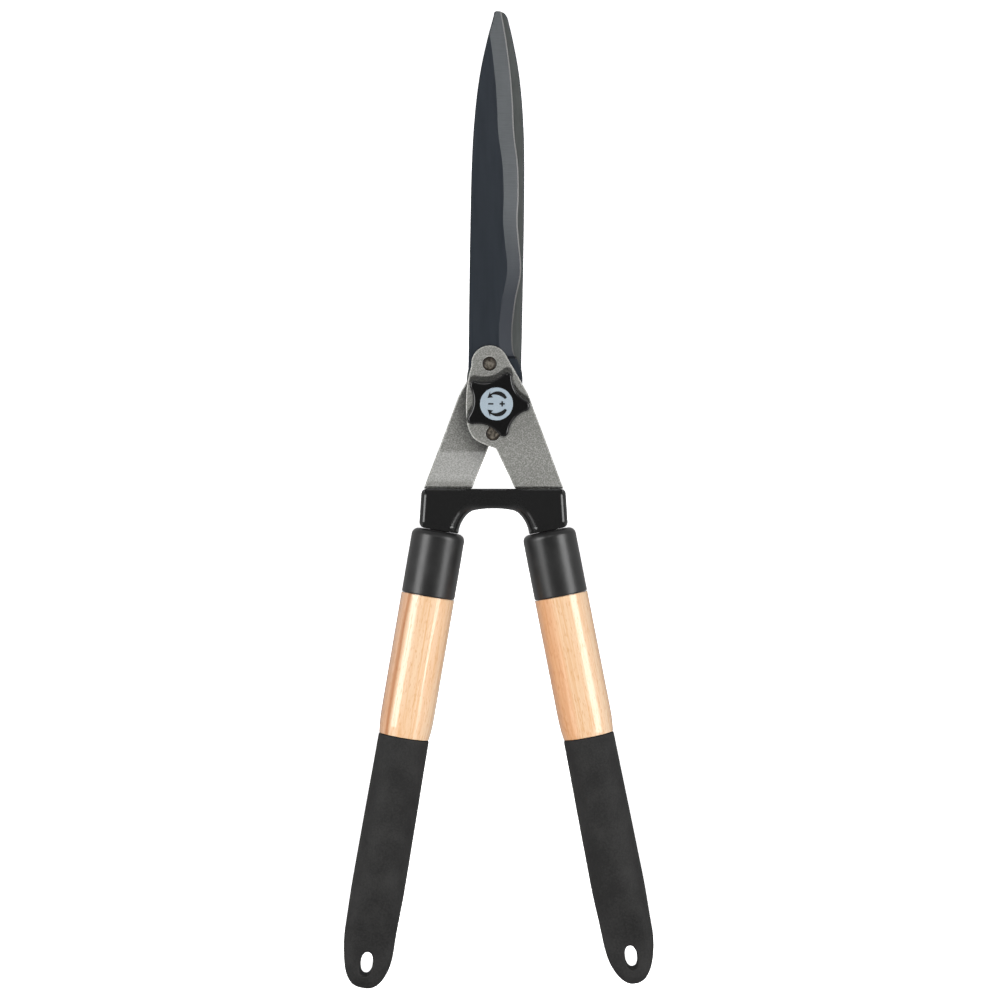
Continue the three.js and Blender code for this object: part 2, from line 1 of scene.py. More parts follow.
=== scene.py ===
"""Hedge shears, closed and lying on their back: the looks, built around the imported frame.

Everything is drawn in millimetres about the shears' middle line, as the CAD part is: X = 0
lies between the two halves, Y = 0 at the pivot and Z = 0 in the plane between the blades.
Each half is drawn as the right half. The left half is turned half a turn about the Y axis.
"""

import json
import math

import bmesh
import bpy
from mathutils import Matrix, Vector
from mathutils.geometry import tessellate_polygon


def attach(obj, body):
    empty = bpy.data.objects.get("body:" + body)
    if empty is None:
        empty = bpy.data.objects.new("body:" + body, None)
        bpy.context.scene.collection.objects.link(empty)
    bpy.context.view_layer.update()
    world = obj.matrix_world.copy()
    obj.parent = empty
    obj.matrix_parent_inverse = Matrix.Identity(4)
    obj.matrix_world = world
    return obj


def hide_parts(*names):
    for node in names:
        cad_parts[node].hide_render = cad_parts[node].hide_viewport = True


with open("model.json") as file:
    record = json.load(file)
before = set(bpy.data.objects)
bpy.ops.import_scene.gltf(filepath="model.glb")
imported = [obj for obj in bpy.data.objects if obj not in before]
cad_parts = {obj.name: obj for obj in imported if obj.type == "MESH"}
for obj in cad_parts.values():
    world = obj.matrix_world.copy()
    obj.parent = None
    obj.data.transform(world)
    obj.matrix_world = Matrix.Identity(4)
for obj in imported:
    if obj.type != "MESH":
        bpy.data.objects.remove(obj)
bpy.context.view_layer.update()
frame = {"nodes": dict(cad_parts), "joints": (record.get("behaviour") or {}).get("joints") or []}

# ---- driving dimensions

MM = 0.001
GAP = 0.3  # clearance between neighbouring pieces
ROUND_STEPS = 96  # flats around a turned piece
PIVOT_X = 1.72
PIVOT = (PIVOT_X, 0.0)

HALVES = {
    "right": {
        "blade": "front",
        "pivot": PIVOT,
        "blade_x": 0.42,
        "blade_lean": 0.92,
        "handle_lean": 11.1,
        "handle_top": (31.4, -72.1),
        "inner_corner": (1.3, -24.9),
        "tip_radius": 1.8,
        "grip_end": 263.9,
        "grip_round": {"length": 30, "half_width": 14.6, "power": 2.1, "shift": 0.5},
        "hole_from_end": 16.0,
    },
    "left": {
        "blade": "rear",
        "pivot": (-PIVOT_X, 0.0),
        "blade_x": -0.42,
        "blade_lean": -0.92,
        "handle_lean": 9.7,
        "handle_top": (31.2, -72.0),
        "inner_corner": (2.2, -22.5),
        "tip_radius": 4.4,
        "grip_end": 265.4,
        "grip_round": {"length": 34, "half_width": 14.8, "power": 2.55, "shift": 1.0},
        "hole_from_end": 14.8,
    },
}

BLADE_LOW = 0.15
BLADE_HIGH = 3.65
BLADE_TIP = 225.6
HEEL_CENTRE = (-0.5, -15.5)
HEEL_RADIUS = 8.2
BEVEL_START = (26.6, 28.4)  # the grinding runs out between these distances
HONED_WIDTH = 0.8

ARM_THICKNESS = 3.0
ARM_LOW = 3.95
ARM_HIGH = ARM_LOW + ARM_THICKNESS
ARM_ROUNDING = 0.7
ARM_BEND = (-46.0, -24.5)
ARM_BEND_SOFTNESS = 4.5
HEAD_CENTRE = (-2.2, 23.5)
HEAD_RADIUS = 10.5
SHOULDER_Y = -47.83
TANG_WIDTH = 11.0
TANG_LENGTH = 60.0

UPPER_RIVET = HEAD_CENTRE
LOWER_RIVET = (-0.3, -16.4)
RIVET_RADIUS = 2.9
RIVET_FLARE = 3.9
RIVET_DOME = (3.8, 1.7)
RIVET_MOAT = 0.25  # the ring of dirt and shadow between a rivet and the arm
RIVET_HOLE_ROUNDING = 0.4

BOLT_RADIUS = 4.0
BOLT_HEAD = (10.0, 3.7)
BOLT_TOP = 20.8

SPRING_LOW = ARM_HIGH + GAP
SPRING_CONE = 0.7
SPRING_THICKNESS = 0.8
SPRING_RADII = (4.6, 9.5)
THRUST_LOW = SPRING_LOW + SPRING_CONE + SPRING_THICKNESS + GAP
THRUST_THICKNESS = 1.6
THRUST_RADII = (4.4, 10.5)
KNOB_LOW = THRUST_LOW + THRUST_THICKNESS + GAP
KNOB_HIGH = KNOB_LOW + 13.55

KNOB_LOBES = 5
KNOB_FIRST_LOBE = -4.0
KNOB_REACH = 19.0
KNOB_LOBE_RADIUS = 3.0
KNOB_VALLEY = 13.3
KNOB_DRAFT = 0.5
KNOB_CROWN = 1.6
KNOB_BORE = 11.2
NUT_ACROSS = 13.6  # between the flats of the pocket that holds the nut
NUT_POCKET = 6.8
LABEL_RADIUS = 9.3
LABEL_THICKNESS = 0.5

BUMPER_TOP = -47.85
BUMPER_BOTTOM_HALF = 11.2
BUMPER_THICKNESS = 9.0

FERRULE_RADIUS = 15.3
FERRULE_LENGTH = 37.5
FERRULE_SHOULDER = 4.0
WOOD_RADIUS = 15.35
WOOD_END = 205.0
GRIP_START = 119.5
GRIP_START_RADIUS = 14.6
GRIP_BORE = 12.0
TAB_WIDENING = (205, 236)  # where the sleeve goes over to the tab's width
TAB_THINNING = (210, 241)  # and where to its thickness
TAB_HALF_THICKNESS = 7.8
TAB_END = 8.0  # the stretch over which the end is rounded in thickness
TAB_END_POWER = 2.3
HOLE_HALF = (3.5, 6.8)
HOLE_RIM = 1.3
HOLE_POWER = 2.3

# ---- placing

pivot_joint = next(joint for joint in frame["joints"] if joint["name"] == "blade_pivot")
MIDDLE = Vector(pivot_joint["pos_m"]) - Vector((PIVOT_X * MM, 0, 0))
TO_FRAME = Matrix.Translation(MIDDLE)
TO_HALF = {
    "right": TO_FRAME,
    "left": TO_FRAME @ Matrix.Rotation(math.pi, 4, "Y"),
}


def handle_frame(half, unit=1.0):
    """The handle's own frame: its origin at the ferrule's top, -Y down the handle."""
    lean = Matrix.Rotation(math.radians(half["handle_lean"]), 4, "Z")
    return Matrix.Translation(Vector((*half["handle_top"], 0)) * unit) @ lean


def to_handle(side):
    return TO_HALF[side] @ handle_frame(HALVES[side], MM)


def on_handle(half, down, across):
    """A point of the half at a distance down the handle's axis and across it."""
    lean = math.radians(half["handle_lean"])
    x, y = half["handle_top"]
    return (
        x + down * math.sin(lean) + across * math.cos(lean),
        y - down * math.cos(lean) + across * math.sin(lean),
    )


# ---- curves and outlines


def smooth(points):
    """A smooth curve y(x) through a few (x, y) points, level beyond its ends."""

    def slope(i):
        before = points[max(i - 1, 0)]
        after = points[min(i + 1, len(points) - 1)]
        return (after[1] - before[1]) / (after[0] - before[0])

    def curve(x):
        if x <= points[0][0]:
            return points[0][1]
        if x >= points[-1][0]:
            return points[-1][1]
        i = next(i for i in range(1, len(points)) if x < points[i][0]) - 1
        (x0, y0), (x1, y1) = points[i], points[i + 1]
        width = x1 - x0
        t = (x - x0) / width
        start = (1 + 2 * t) * (1 - t) ** 2 * y0 + t * (1 - t) ** 2 * width * slope(i)
        end = t * t * (3 - 2 * t) * y1 + t * t * (t - 1) * width * slope(i + 1)
        return start + end

    return curve


def ramp(low, high, x):
    """0 below low, 1 above high and straight between."""
    return min(max((x - low) / (high - low), 0.0), 1.0)


def ease(low, high, x):
    """0 below low, 1 above high and a smooth S between."""
    t = ramp(low, high, x)
    return t * t * (3 - 2 * t)


def spread(low, high, step):
    """Evenly spaced values from low up to, but not including, high."""
    count = max(round((high - low) / step), 1)
    return [low + (high - low) * i / count for i in range(count)]


def polar(centre, radius, degrees):
    angle = math.radians(degrees)
    return centre[0] + radius * math.cos(angle), centre[1] + radius * math.sin(angle)


def arc(centre, radii, start, end, steps):
    """Points of a stretch of a circle or an ellipse, from one angle to another in degrees."""
    across, up = radii if isinstance(radii, tuple) else (radii, radii)
    points = []
    for i in range(steps + 1):
        angle = math.radians(start + (end - start) * i / steps)
        points.append((centre[0] + across * math.cos(angle), centre[1] + up * math.sin(angle)))
    return points


def oval(centre, radii, power, steps=ROUND_STEPS):
    """A closed ring between an ellipse, power 2, and a rounded rectangle, counter-clockwise."""
    points = []
    for i in range(steps):
        angle = math.tau * i / steps
        across, up = math.cos(angle), math.sin(angle)
        x = centre[0] + radii[0] * math.copysign(abs(across) ** (2 / power), across)
        y = centre[1] + radii[1] * math.copysign(abs(up) ** (2 / power), up)
        points.append((x, y))
    return points


def flowing(points, steps=8):
    """A smooth curve through all the points, in the plane."""
    path = []
    for i in range(len(points) - 1):
        p0, p1 = Vector(points[max(i - 1, 0)]), Vector(points[i])
        p2, p3 = Vector(points[i + 1]), Vector(points[min(i + 2, len(points) - 1)])
        for step in range(steps):
            t = step / steps
            cubic = (3 * (p1 - p2) + p3 - p0) * t**3
            square = (2 * p0 - 5 * p1 + 4 * p2 - p3) * t**2
            x, y = 0.5 * (cubic + square + (p2 - p0) * t + 2 * p1)
            path.append((x, y))
    return path + [tuple(points[-1])]


def corner(before, at, after, radius, steps=6):
    """The point at a corner rounded off: a curve between points short of it."""
    at = Vector(at)
    start = at + (Vector(before) - at).normalized() * radius
    end = at + (Vector(after) - at).normalized() * radius
    points = []
    for i in range(steps + 1):
        t = i / steps
        x, y = start * (1 - t) ** 2 + at * 2 * t * (1 - t) + end * t * t
        points.append((x, y))
    return points


def thickened(points, step):
    """The closed outline with points added, so that none are further apart than step."""
    result = []
    for here, after in zip(points, points[1:] + points[:1]):
        start, way = Vector(here), Vector(after) - Vector(here)
        count = max(math.ceil(way.length / step), 1)
        result += [tuple(start + way * i / count) for i in range(count)]
    return result


# ---- mesh making


def band(bm, row, after, slot_of=lambda i: 0):
    """Faces between two rings of vertices. slot_of(i) is the material of the face at point i."""
    for i in range(len(row)):
        j = (i + 1) % len(row)
        face = bm.faces.new((row[i], row[j], after[j], after[i]))
        face.material_index = slot_of(i)


def loft(rings, slot_of=lambda step, i: 0):
    """A closed body through rings of equal point counts."""
    bm = bmesh.new()
    rows = [[bm.verts.new(point) for point in ring] for ring in rings]
    for step, (row, after) in enumerate(zip(rows, rows[1:])):
        band(bm, row, after, lambda i: slot_of(step, i))
    bm.faces.new(list(reversed(rows[0])))
    bm.faces.new(rows[-1])
    return bm


def turned(profile, steps=ROUND_STEPS, upright=False, at=(0, 0)):
    """A body turned from (radius, height) points, about Y, or about Z where upright."""
    bm = bmesh.new()
    verts = [bm.verts.new((radius, height, 0)) for radius, height in profile]
    edges = [bm.edges.new(pair) for pair in zip(verts, verts[1:])]
    bmesh.ops.spin(
        bm, geom=verts + edges, axis=(0, 1, 0), cent=(0, 0, 0), angle=math.tau, steps=steps,
        use_merge=True,
    )
    bmesh.ops.remove_doubles(bm, verts=bm.verts, dist=1e-4)
    if upright:
        bm.transform(Matrix.Translation((*at, 0)) @ Matrix.Rotation(math.pi / 2, 4, "X"))
    return bm


def peg(radius, low, high, at, steps=64):
    """A plain upright cylinder, or a prism of a few steps."""
    return turned([(0, low), (radius, low), (radius, high), (0, high)], steps, True, at)


def box(low, high):
    bm = bmesh.new()
    bmesh.ops.create_cube(bm, size=1.0)
    size = Vector(high) - Vector(low)
    bm.transform(Matrix.Translation((Vector(low) + Vector(high)) / 2) @ Matrix.Diagonal((*size, 1)))
    return bm


def inwards(loop):
    """For each point of a loop, the move that shifts both its sides in by 1."""
    moves = []
    for before, here, after in zip(loop[-1:] + loop[:-1], loop, loop[1:] + loop[:1]):
        first = (Vector(here) - Vector(before)).normalized()
        second = (Vector(after) - Vector(here)).normalized()
        normal = Vector((-first.y - second.y, first.x + second.x)) / 2
        moves.append(normal / max(normal.length_squared, 0.5))
    return moves


def rounded_plate(loops, low, high, rounding, levels=5, edge_slot=0):
    """A plate with rounded edges. The outline runs counter-clockwise, its holes clockwise.

    rounding(x, y) is the edge's radius at a point of a loop, and edge_slot its material.
    """
    bm = bmesh.new()
    caps = ([], [])
    cap_points = []
    for loop in loops:
        moves = inwards(loop)
        radii = [rounding(*point) for point in loop]
        rows = []
        for face, sign, level in (
            [(low, 1, k) for k in range(levels, -1, -1)] + [(high, -1, k) for k in range(levels + 1)]
        ):
            angle = math.pi / 2 * level / levels
            row = []
            for point, move, radius in zip(loop, moves, radii):
                x, y = Vector(point) + move * radius * (1 - math.cos(angle))
                row.append(bm.verts.new((x, y, face + sign * radius * (1 - math.sin(angle)))))
            rows.append(row)
        for row, after in zip(rows, rows[1:]):
            band(bm, row, after, lambda i: edge_slot)
        caps[0].extend(rows[0])
        caps[1].extend(rows[-1])
        cap_points.append([vert.co.copy() for vert in rows[-1]])
    for a, b, c in tessellate_polygon(cap_points):
        for cap in caps:
            if len({cap[a], cap[b], cap[c]}) == 3:
                bm.faces.new((cap[a], cap[b], cap[c]))
    return bm


def slice_at(bm, point, normal, clear=False):
    """Cuts the faces along a plane. clear takes away what lies behind it."""
    geometry = bm.verts[:] + bm.edges[:] + bm.faces[:]
    bmesh.ops.bisect_plane(
        bm, geom=geometry, plane_co=point, plane_no=normal, dist=1e-5, clear_inner=clear,
    )


def bend(bm, heights, height_at):
    """Cuts the body across at each Y of heights, then lifts every point by height_at(y)."""
    for y in heights:
        slice_at(bm, (0, y, 0), (0, 1, 0))
    for vert in bm.verts:
        vert.co.z += height_at(vert.co.y)


def mark_edges(bm, angle):
    """Smooth shading, with sharp edges where faces turn by more than angle or change finish."""
    for face in bm.faces:
        face.smooth = True
    for edge in bm.edges:
        if len(edge.link_faces) == 2:
            one, other = edge.link_faces
            turn = one.normal.angle(other.normal, 0.0)
            edge.smooth = turn < angle and one.material_index == other.material_index


def add_object(name, data):
    """Adds an object to the scene, from a lamp's or a camera's data or from a bmesh."""
    if isinstance(data, bmesh.types.BMesh):
        bm, data = data, bpy.data.meshes.new(name)
        bmesh.ops.recalc_face_normals(bm, faces=bm.faces)
        bm.to_mesh(data)
        bm.free()
    obj = bpy.data.objects.new(name, data)
    bpy.context.scene.collection.objects.link(obj)
    return obj


def carve(obj, tool, operation="DIFFERENCE"):
    """Cuts the tool, a bmesh in the piece's own frame, out of the piece, or joins it on."""
    tool.transform(Matrix.Diagonal((MM, MM, MM, 1)))
    cutter = add_object("tool", tool)
    cutter.matrix_world = obj.matrix_world
    modifier = obj.modifiers.new("carve", "BOOLEAN")
    modifier.object = cutter
    modifier.operation = operation
    modifier.solver = "EXACT"
    bpy.context.view_layer.update()
    carved = bpy.data.meshes.new_from_object(obj.evaluated_get(bpy.context.evaluated_depsgraph_get()))
    obj.modifiers.remove(modifier)
    obj.data = carved
    bpy.data.objects.remove(cutter)


def piece(name, bm, place, body, nodes, materials, tools=(), sharp=28):
    """Turns a bmesh in millimetres into a piece that rides on a body and replaces nodes."""
    bm.transform(Matrix.Diagonal((MM, MM, MM, 1)))
    obj = add_object(name, bm)
    for material in materials:
        obj.data.materials.append(material)
    obj.matrix_world = place
    for tool in tools:
        carve(obj, tool)
    shaded = bmesh.new()
    shaded.from_mesh(obj.data)
    bmesh.ops.remove_doubles(shaded, verts=shaded.verts, dist=5e-7)
    bmesh.ops.dissolve_degenerate(shaded, edges=shaded.edges, dist=1e-7)
    mark_edges(shaded, math.radians(sharp))
    shaded.to_mesh(obj.data)
    shaded.free()
    weighted = obj.modifiers.new("even_normals", "WEIGHTED_NORMAL")
    weighted.keep_sharp = True
    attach(obj, body)
    if nodes:
        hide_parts(*nodes)
    return obj


# ---- materials


NOISE_RANGE = (0.3, 0.7)


class Nodes:
    """A node tree with short ways to add to it."""

    def __init__(self, tree):
        self.tree = tree

    def add(self, kind, inputs=None, **settings):
        node = self.tree.nodes.new(kind)
        for key, value in settings.items():
            setattr(node, key, value)
        for key, value in (inputs or {}).items():
            if isinstance(value, bpy.types.NodeSocket):
                self.tree.links.new(value, node.inputs[key])
            else:
                node.inputs[key].default_value = value
        return node

    def ranged(self, value, low, high, to_low, to_high):
        inputs = {
            "Value": value, "From Min": low, "From Max": high, "To Min": to_low, "To Max": to_high,
        }
        return self.add("ShaderNodeMapRange", inputs).outputs["Result"]

    def part(self, vector, axis):
        return self.add("ShaderNodeSeparateXYZ", {"Vector": vector}).outputs[axis]


class Finish(Nodes):
    """A node material whose textures are placed in millimetres."""

    def __init__(self, name, **constants):
        self.material = bpy.data.materials.new(name)
        self.material.use_nodes = True
        super().__init__(self.material.node_tree)
        self.surface = self.tree.nodes["Principled BSDF"]
        for socket, value in constants.items():
            self.surface.inputs[socket.replace("_", " ")].default_value = value
        sources = self.add("ShaderNodeTexCoord").outputs
        self.coordinates, self.normal = sources["Object"], sources["Normal"]

    def place(self, per_mm):
        """Object coordinates scaled to so many units a millimetre, alike or along X, Y and Z."""
        each = per_mm if isinstance(per_mm, tuple) else (per_mm,) * 3
        scale = [value / MM for value in each]
        return self.add("ShaderNodeMapping", {"Vector": self.coordinates, "Scale": scale}).outputs[0]

    def noise(self, per_mm, detail=3.0, roughness=0.5, distortion=0.0):
        inputs = {
            "Vector": self.place(per_mm), "Scale": 1.0, "Detail": detail,
            "Roughness": roughness, "Distortion": distortion,
        }
        return self.add("ShaderNodeTexNoise", inputs).outputs["Fac"]

    def cells(self, per_mm):
        inputs = {"Vector": self.place(per_mm), "Scale": 1.0}
        return self.add("ShaderNodeTexVoronoi", inputs, feature="SMOOTH_F1").outputs["Distance"]

    def colours(self, value, stops):
        node = self.add("ShaderNodeValToRGB", {"Fac": value})
        elements = node.color_ramp.elements
        while len(elements) < len(stops):
            elements.new(0.5)
        for element, (position, colour) in zip(elements, stops):
            element.position = position
            element.color = (*colour, 1)
        return node.outputs["Color"]

    def tones(self, noise, dark, light):
        """A colour between two, over the range that nearly all of a noise keeps to."""
        return self.colours(noise, list(zip(NOISE_RANGE, (dark, light))))

    def mixed(self, factor, one, other, blend="MIX"):
        one, other = ((*mix, 1) if isinstance(mix, tuple) else mix for mix in (one, other))
        inputs = {0: factor, 6: one, 7: other}
        return self.add("ShaderNodeMix", inputs, data_type="RGBA", blend_type=blend).outputs[2]

    def math(self, operation, one, other):
        return self.add("ShaderNodeMath", {0: one, 1: other}, operation=operation).outputs[0]

    def along(self, low, high):
        """Rises from 0 to 1 between two distances from the pivot towards the tips."""
        return self.ranged(self.part(self.coordinates, "Y"), low * MM, high * MM, 0, 1)

    def drive(self, socket, value):
        self.tree.links.new(value, self.surface.inputs[socket])

    def paint(self, colour):
        self.drive("Base Color", colour)

    def rough(self, noise, low, high):
        self.drive("Roughness", self.ranged(noise, *NOISE_RANGE, low, high))

    def bump(self, height, depth_mm, strength):
        inputs = {"Height": height, "Distance": depth_mm * MM, "Strength": strength}
        self.drive("Normal", self.add("ShaderNodeBump", inputs).outputs["Normal"])


def grey(level):
    return (level, level, level)


def rolled_steel(name, metallic, streaks, clouds, dark, light, roughness):
    """A blade's face: streaks and clouds, each given as the scale and the detail of a noise."""
    finish = Finish(name, Metallic=metallic, Specular_IOR_Level=0.4)
    streaks = finish.noise(*streaks)
    tone = finish.mixed(0.5, streaks, finish.noise(*clouds))
    finish.paint(finish.tones(tone, dark, light))
    finish.rough(streaks, *roughness)
    finish.bump(streaks, 0.01, 0.4)
    return finish.material


def ground_steel():
    """The ground bevel: fine lines across it, darker from the middle towards the heel."""
    finish = Finish("ground_steel", Metallic=0.3, Specular_IOR_Level=0.4)
    lines = finish.noise((0.12, 4.0, 0.12))
    clouds = finish.noise((0.1, 0.03, 0.1))
    tone = finish.mixed(0.4, lines, clouds)
    bright = finish.tones(tone, (0.055, 0.061, 0.066), (0.086, 0.093, 0.099))
    heel_tone = finish.tones(tone, (0.008, 0.011, 0.017), (0.014, 0.018, 0.025))
    finish.paint(finish.mixed(finish.along(60, 120), heel_tone, bright))
    finish.rough(lines, 0.42, 0.55)
    finish.bump(lines, 0.012, 0.5)
    return finish.material


def honed_steel():
    """The narrow honed edge: steel a little brighter than the bevel, and darker near the heel."""
    finish = Finish("honed_steel", Metallic=0.4)
    lines = finish.noise((0.3, 8.0, 0.3))
    bright = finish.tones(lines, grey(0.15), grey(0.25))
    heel_tone = finish.tones(lines, grey(0.06), grey(0.10))
    finish.paint(finish.mixed(finish.along(45, 100), heel_tone, bright))
    finish.rough(lines, 0.4, 0.55)
    finish.bump(lines, 0.01, 0.4)
    return finish.material


def hammertone(name, level, coat_roughness, shade=1.0):
    """Silver-grey paint that dries into small shiny dimples.

    Around the pivot its colour carries painted shade: it is shade times as light where it lies close
    under another piece.
    """
    finish = Finish(name, Specular_IOR_Level=0.3, Coat_Weight=0.6, Coat_Roughness=coat_roughness)
    dimples = finish.cells(1.5)
    grain = finish.noise(1.9, 3, 0.6)
    relief = finish.mixed(0.45, dimples, grain)
    paint = finish.colours(relief, [
        (0.34, (level * 0.75, level * 0.75, level * 0.70)),
        (0.46, (level * 1.05, level * 1.05, level * 0.98)),
        (0.60, (level * 1.50, level * 1.50, level * 1.42)),
    ])
    # painted shade: an ambient-occlusion mask darkens the base colour near the pivot, where another
    # piece lies close
    openness = finish.add("ShaderNodeAmbientOcclusion", {"Distance": 20 * MM}, samples=8).outputs["AO"]
    painted_shade_mask = finish.ranged(openness, 0.97, 0.5, 0, 1)
    shaded = finish.math("MULTIPLY", painted_shade_mask, finish.along(-44, -32))
    finish.paint(finish.mixed(shaded, paint, grey(shade), "MULTIPLY"))
    finish.rough(grain, 0.28, 0.38)
    finish.bump(relief, 0.06, 0.7)
    return finish.material


def bronzed_steel():
    """Dark bronze rivet heads, blotched, with a painted highlight: a lighter bronze on their
    upward-facing tops, broken up by the blotches.
    """
    finish = Finish("bronzed_steel", Specular_IOR_Level=0.15)
    blotches = finish.noise(0.45, 5, 0.6)
    dark = finish.colours(blotches, [
        (0.35, (0.022, 0.018, 0.014)), (0.55, (0.040, 0.033, 0.026)), (0.75, (0.09, 0.076, 0.06)),
    ])
    # painted highlight: surfaces facing up get a lighter colour, in patches
    facing = finish.part(finish.normal, "Z")
    highlight_reach = finish.math("ADD", facing, finish.math("MULTIPLY", blotches, 0.8))
    top_highlight = finish.ranged(highlight_reach, 1.26, 1.5, 0, 1)
    finish.paint(finish.mixed(top_highlight, dark, (0.20, 0.178, 0.145)))
    finish.rough(blotches, 0.66, 0.5)
    finish.bump(blotches, 0.12, 0.5)
    return finish.material


def zinc_plate():
    """Bright zinc plate with a faint yellow and blue bloom."""
    finish = Finish("zinc_plate", Metallic=1.0)
    bloom = finish.noise(0.18)
    grain = finish.noise(2.5)
    finish.paint(finish.tones(bloom, (0.56, 0.58, 0.60), (0.64, 0.63, 0.58)))
    finish.rough(grain, 0.24, 0.38)
    finish.bump(grain, 0.01, 0.4)
    return finish.material


def glossy_plastic(name, level, roughness, ripple):
    """Glossy black moulded plastic with a faint orange-peel surface."""
    finish = Finish(name, IOR=1.5)
    peel = finish.noise(0.35)
    specks = finish.noise(3.0, 2)
    finish.paint(finish.tones(specks, grey(level), grey(level * 1.35)))
    finish.rough(peel, roughness * 0.8, roughness * 1.25)
    finish.bump(peel, ripple, 0.5)
    return finish.material


def satin_plastic():
    """Satin black plastic with a fine spark-eroded grain."""
    finish = Finish("satin_plastic", IOR=1.5)
    grain = finish.noise(4.0, 3, 0.6)
    clouds = finish.noise(0.1, 2)
    finish.paint(finish.tones(clouds, grey(0.015), grey(0.021)))
    finish.rough(clouds, 0.31, 0.37)
    finish.bump(grain, 0.02, 0.35)
    return finish.material


def rubber():
    """Matt dark rubber with a fine mottled moulding texture."""
    finish = Finish("rubber", IOR=1.5, Specular_IOR_Level=0.35)
    grain = finish.noise(0.9, 5, 0.7)
    pits = finish.cells(0.8)
    clouds = finish.noise(0.06, 4)
    tone = finish.mixed(0.4, grain, clouds)
    finish.paint(finish.colours(tone, [
        (0.41, (0.0086, 0.0084, 0.0083)), (0.60, (0.0236, 0.0232, 0.0226)),
    ]))
    finish.rough(grain, 0.68, 0.86)
    finish.bump(finish.mixed(0.4, grain, pits), 0.16, 0.6)
    return finish.material


def varnished_wood(name, shift, growth):
    """Light close-grained wood under clear gloss varnish, its grain along the handle.

    growth tints the wood across the handle: stops from its -X side, 0, to its +X side, 1.
    """
    finish = Finish(name, Coat_Weight=1.0, Coat_Roughness=0.05, Coat_IOR=1.5, Roughness=0.5)
    across = finish.part(finish.coordinates, "X")
    shifted = {"Vector": finish.coordinates, "Location": [shift * MM, shift * 3 * MM, 0]}
    finish.coordinates = finish.add("ShaderNodeMapping", shifted).outputs[0]
    sway = finish.ranged(finish.noise((0.02, 0.014, 0.02), 2), *NOISE_RANGE, -0.8 * MM, 0.8 * MM)
    swaying = finish.math("ADD", across, sway)
    grown = finish.colours(finish.ranged(swaying, -15.5 * MM, 15.5 * MM, 0, 1), growth)
    rings = finish.noise((0.13, 0.0025, 0.13), 2, 0.5, 0.3)
    fibres = finish.noise((1.1, 0.022, 1.1), 4, 0.6, 0.2)
    pores = finish.noise((1.7, 0.24, 1.7), 1, 0.5)
    clouds = finish.noise((0.05, 0.02, 0.05))
    base = finish.colours(rings, [
        (0.36, (0.78, 0.45, 0.23)), (0.44, (0.87, 0.58, 0.35)), (0.62, (0.90, 0.65, 0.43)),
    ])
    toned = finish.mixed(finish.ranged(clouds, 0.35, 0.7, 0.0, 0.6), base, (0.91, 0.69, 0.48))
    veined = finish.mixed(finish.ranged(fibres, 0.44, 0.68, 0.0, 0.7), toned, (0.78, 0.43, 0.19))
    dotted = finish.mixed(finish.ranged(pores, 0.58, 0.68, 0.0, 0.5), veined, (0.68, 0.33, 0.12))
    finish.paint(finish.mixed(1.0, dotted, grown, "MULTIPLY"))
    finish.bump(fibres, 0.015, 0.3)
    return finish.material


def label_film():
    """Light blue label with a faint silvery grain."""
    finish = Finish("label_film", Metallic=0.15)
    grain = finish.noise(2.2, 4, 0.7)
    finish.paint(finish.tones(grain, (0.30, 0.385, 0.45), (0.48, 0.55, 0.61)))
    finish.rough(grain, 0.35, 0.5)
    finish.bump(grain, 0.01, 0.3)
    return finish.material


def print_ink():
    """Black printing ink."""
    finish = Finish("print_ink", IOR=1.45, Specular_IOR_Level=0.2)
    grain = finish.noise(3.0, 2)
    finish.paint(finish.tones(grain, grey(0.006), grey(0.011)))
    finish.rough(grain, 0.4, 0.55)
    return finish.material


COATING = rolled_steel(
    "blade_coating", 0.2, ((1.2, 0.04, 1.2), 4), ((0.05, 0.02, 0.05), 2),
    (0.016, 0.021, 0.028), (0.021, 0.027, 0.036), (0.38, 0.5),
)
BEVEL = ground_steel()
HONED = honed_steel()
SLIDING = rolled_steel(  # the flat face that slides on the other blade
    "sliding_steel", 0.3, ((5.0, 0.15, 5.0), 3), ((0.15, 0.05, 0.15), 3),
    (0.062, 0.068, 0.066), (0.096, 0.103, 0.100), (0.4, 0.52),
)
# painted shade near the pivot: the rear arm's copy is darkened far more, under the front arm, than the
# front arm's
HAMMERTONE = {
    "right": hammertone("front_hammertone", 0.235, 0.12, 0.88),
    "left": hammertone("rear_hammertone", 0.235, 0.12, 0.15),
}
# painted highlight: a lighter copy of the paint for the arms' rounded edges
EDGE_HIGHLIGHT_PAINT = hammertone("painted_edge_highlight", 0.37, 0.08)
BRONZE = bronzed_steel()
ZINC = zinc_plate()
KNOB_BLACK = glossy_plastic("knob_black", 0.0065, 0.12, 0.02)
BUMPER_BLACK = glossy_plastic("bumper_black", 0.012, 0.16, 0.03)
SATIN_BLACK = satin_plastic()
RUBBER = rubber()
WOOD = {
    "right": varnished_wood("right_wood", 40, [
        (0.0, (0.82, 0.58, 0.42)), (0.24, (0.86, 0.66, 0.50)), (0.36, (0.95, 0.90, 0.84)),
        (0.7, (1.0, 0.98, 0.96)),
    ]),
    "left": varnished_wood("left_wood", -75, [
        (0.3, (1.0, 1.0, 1.0)), (0.77, (0.98, 0.94, 0.90)), (0.81, (0.64, 0.40, 0.24)),
        (0.84, (0.64, 0.40, 0.24)), (0.87, (0.88, 0.74, 0.68)),
    ]),
}
LABEL = label_film()
INK = print_ink()

# ---- blades

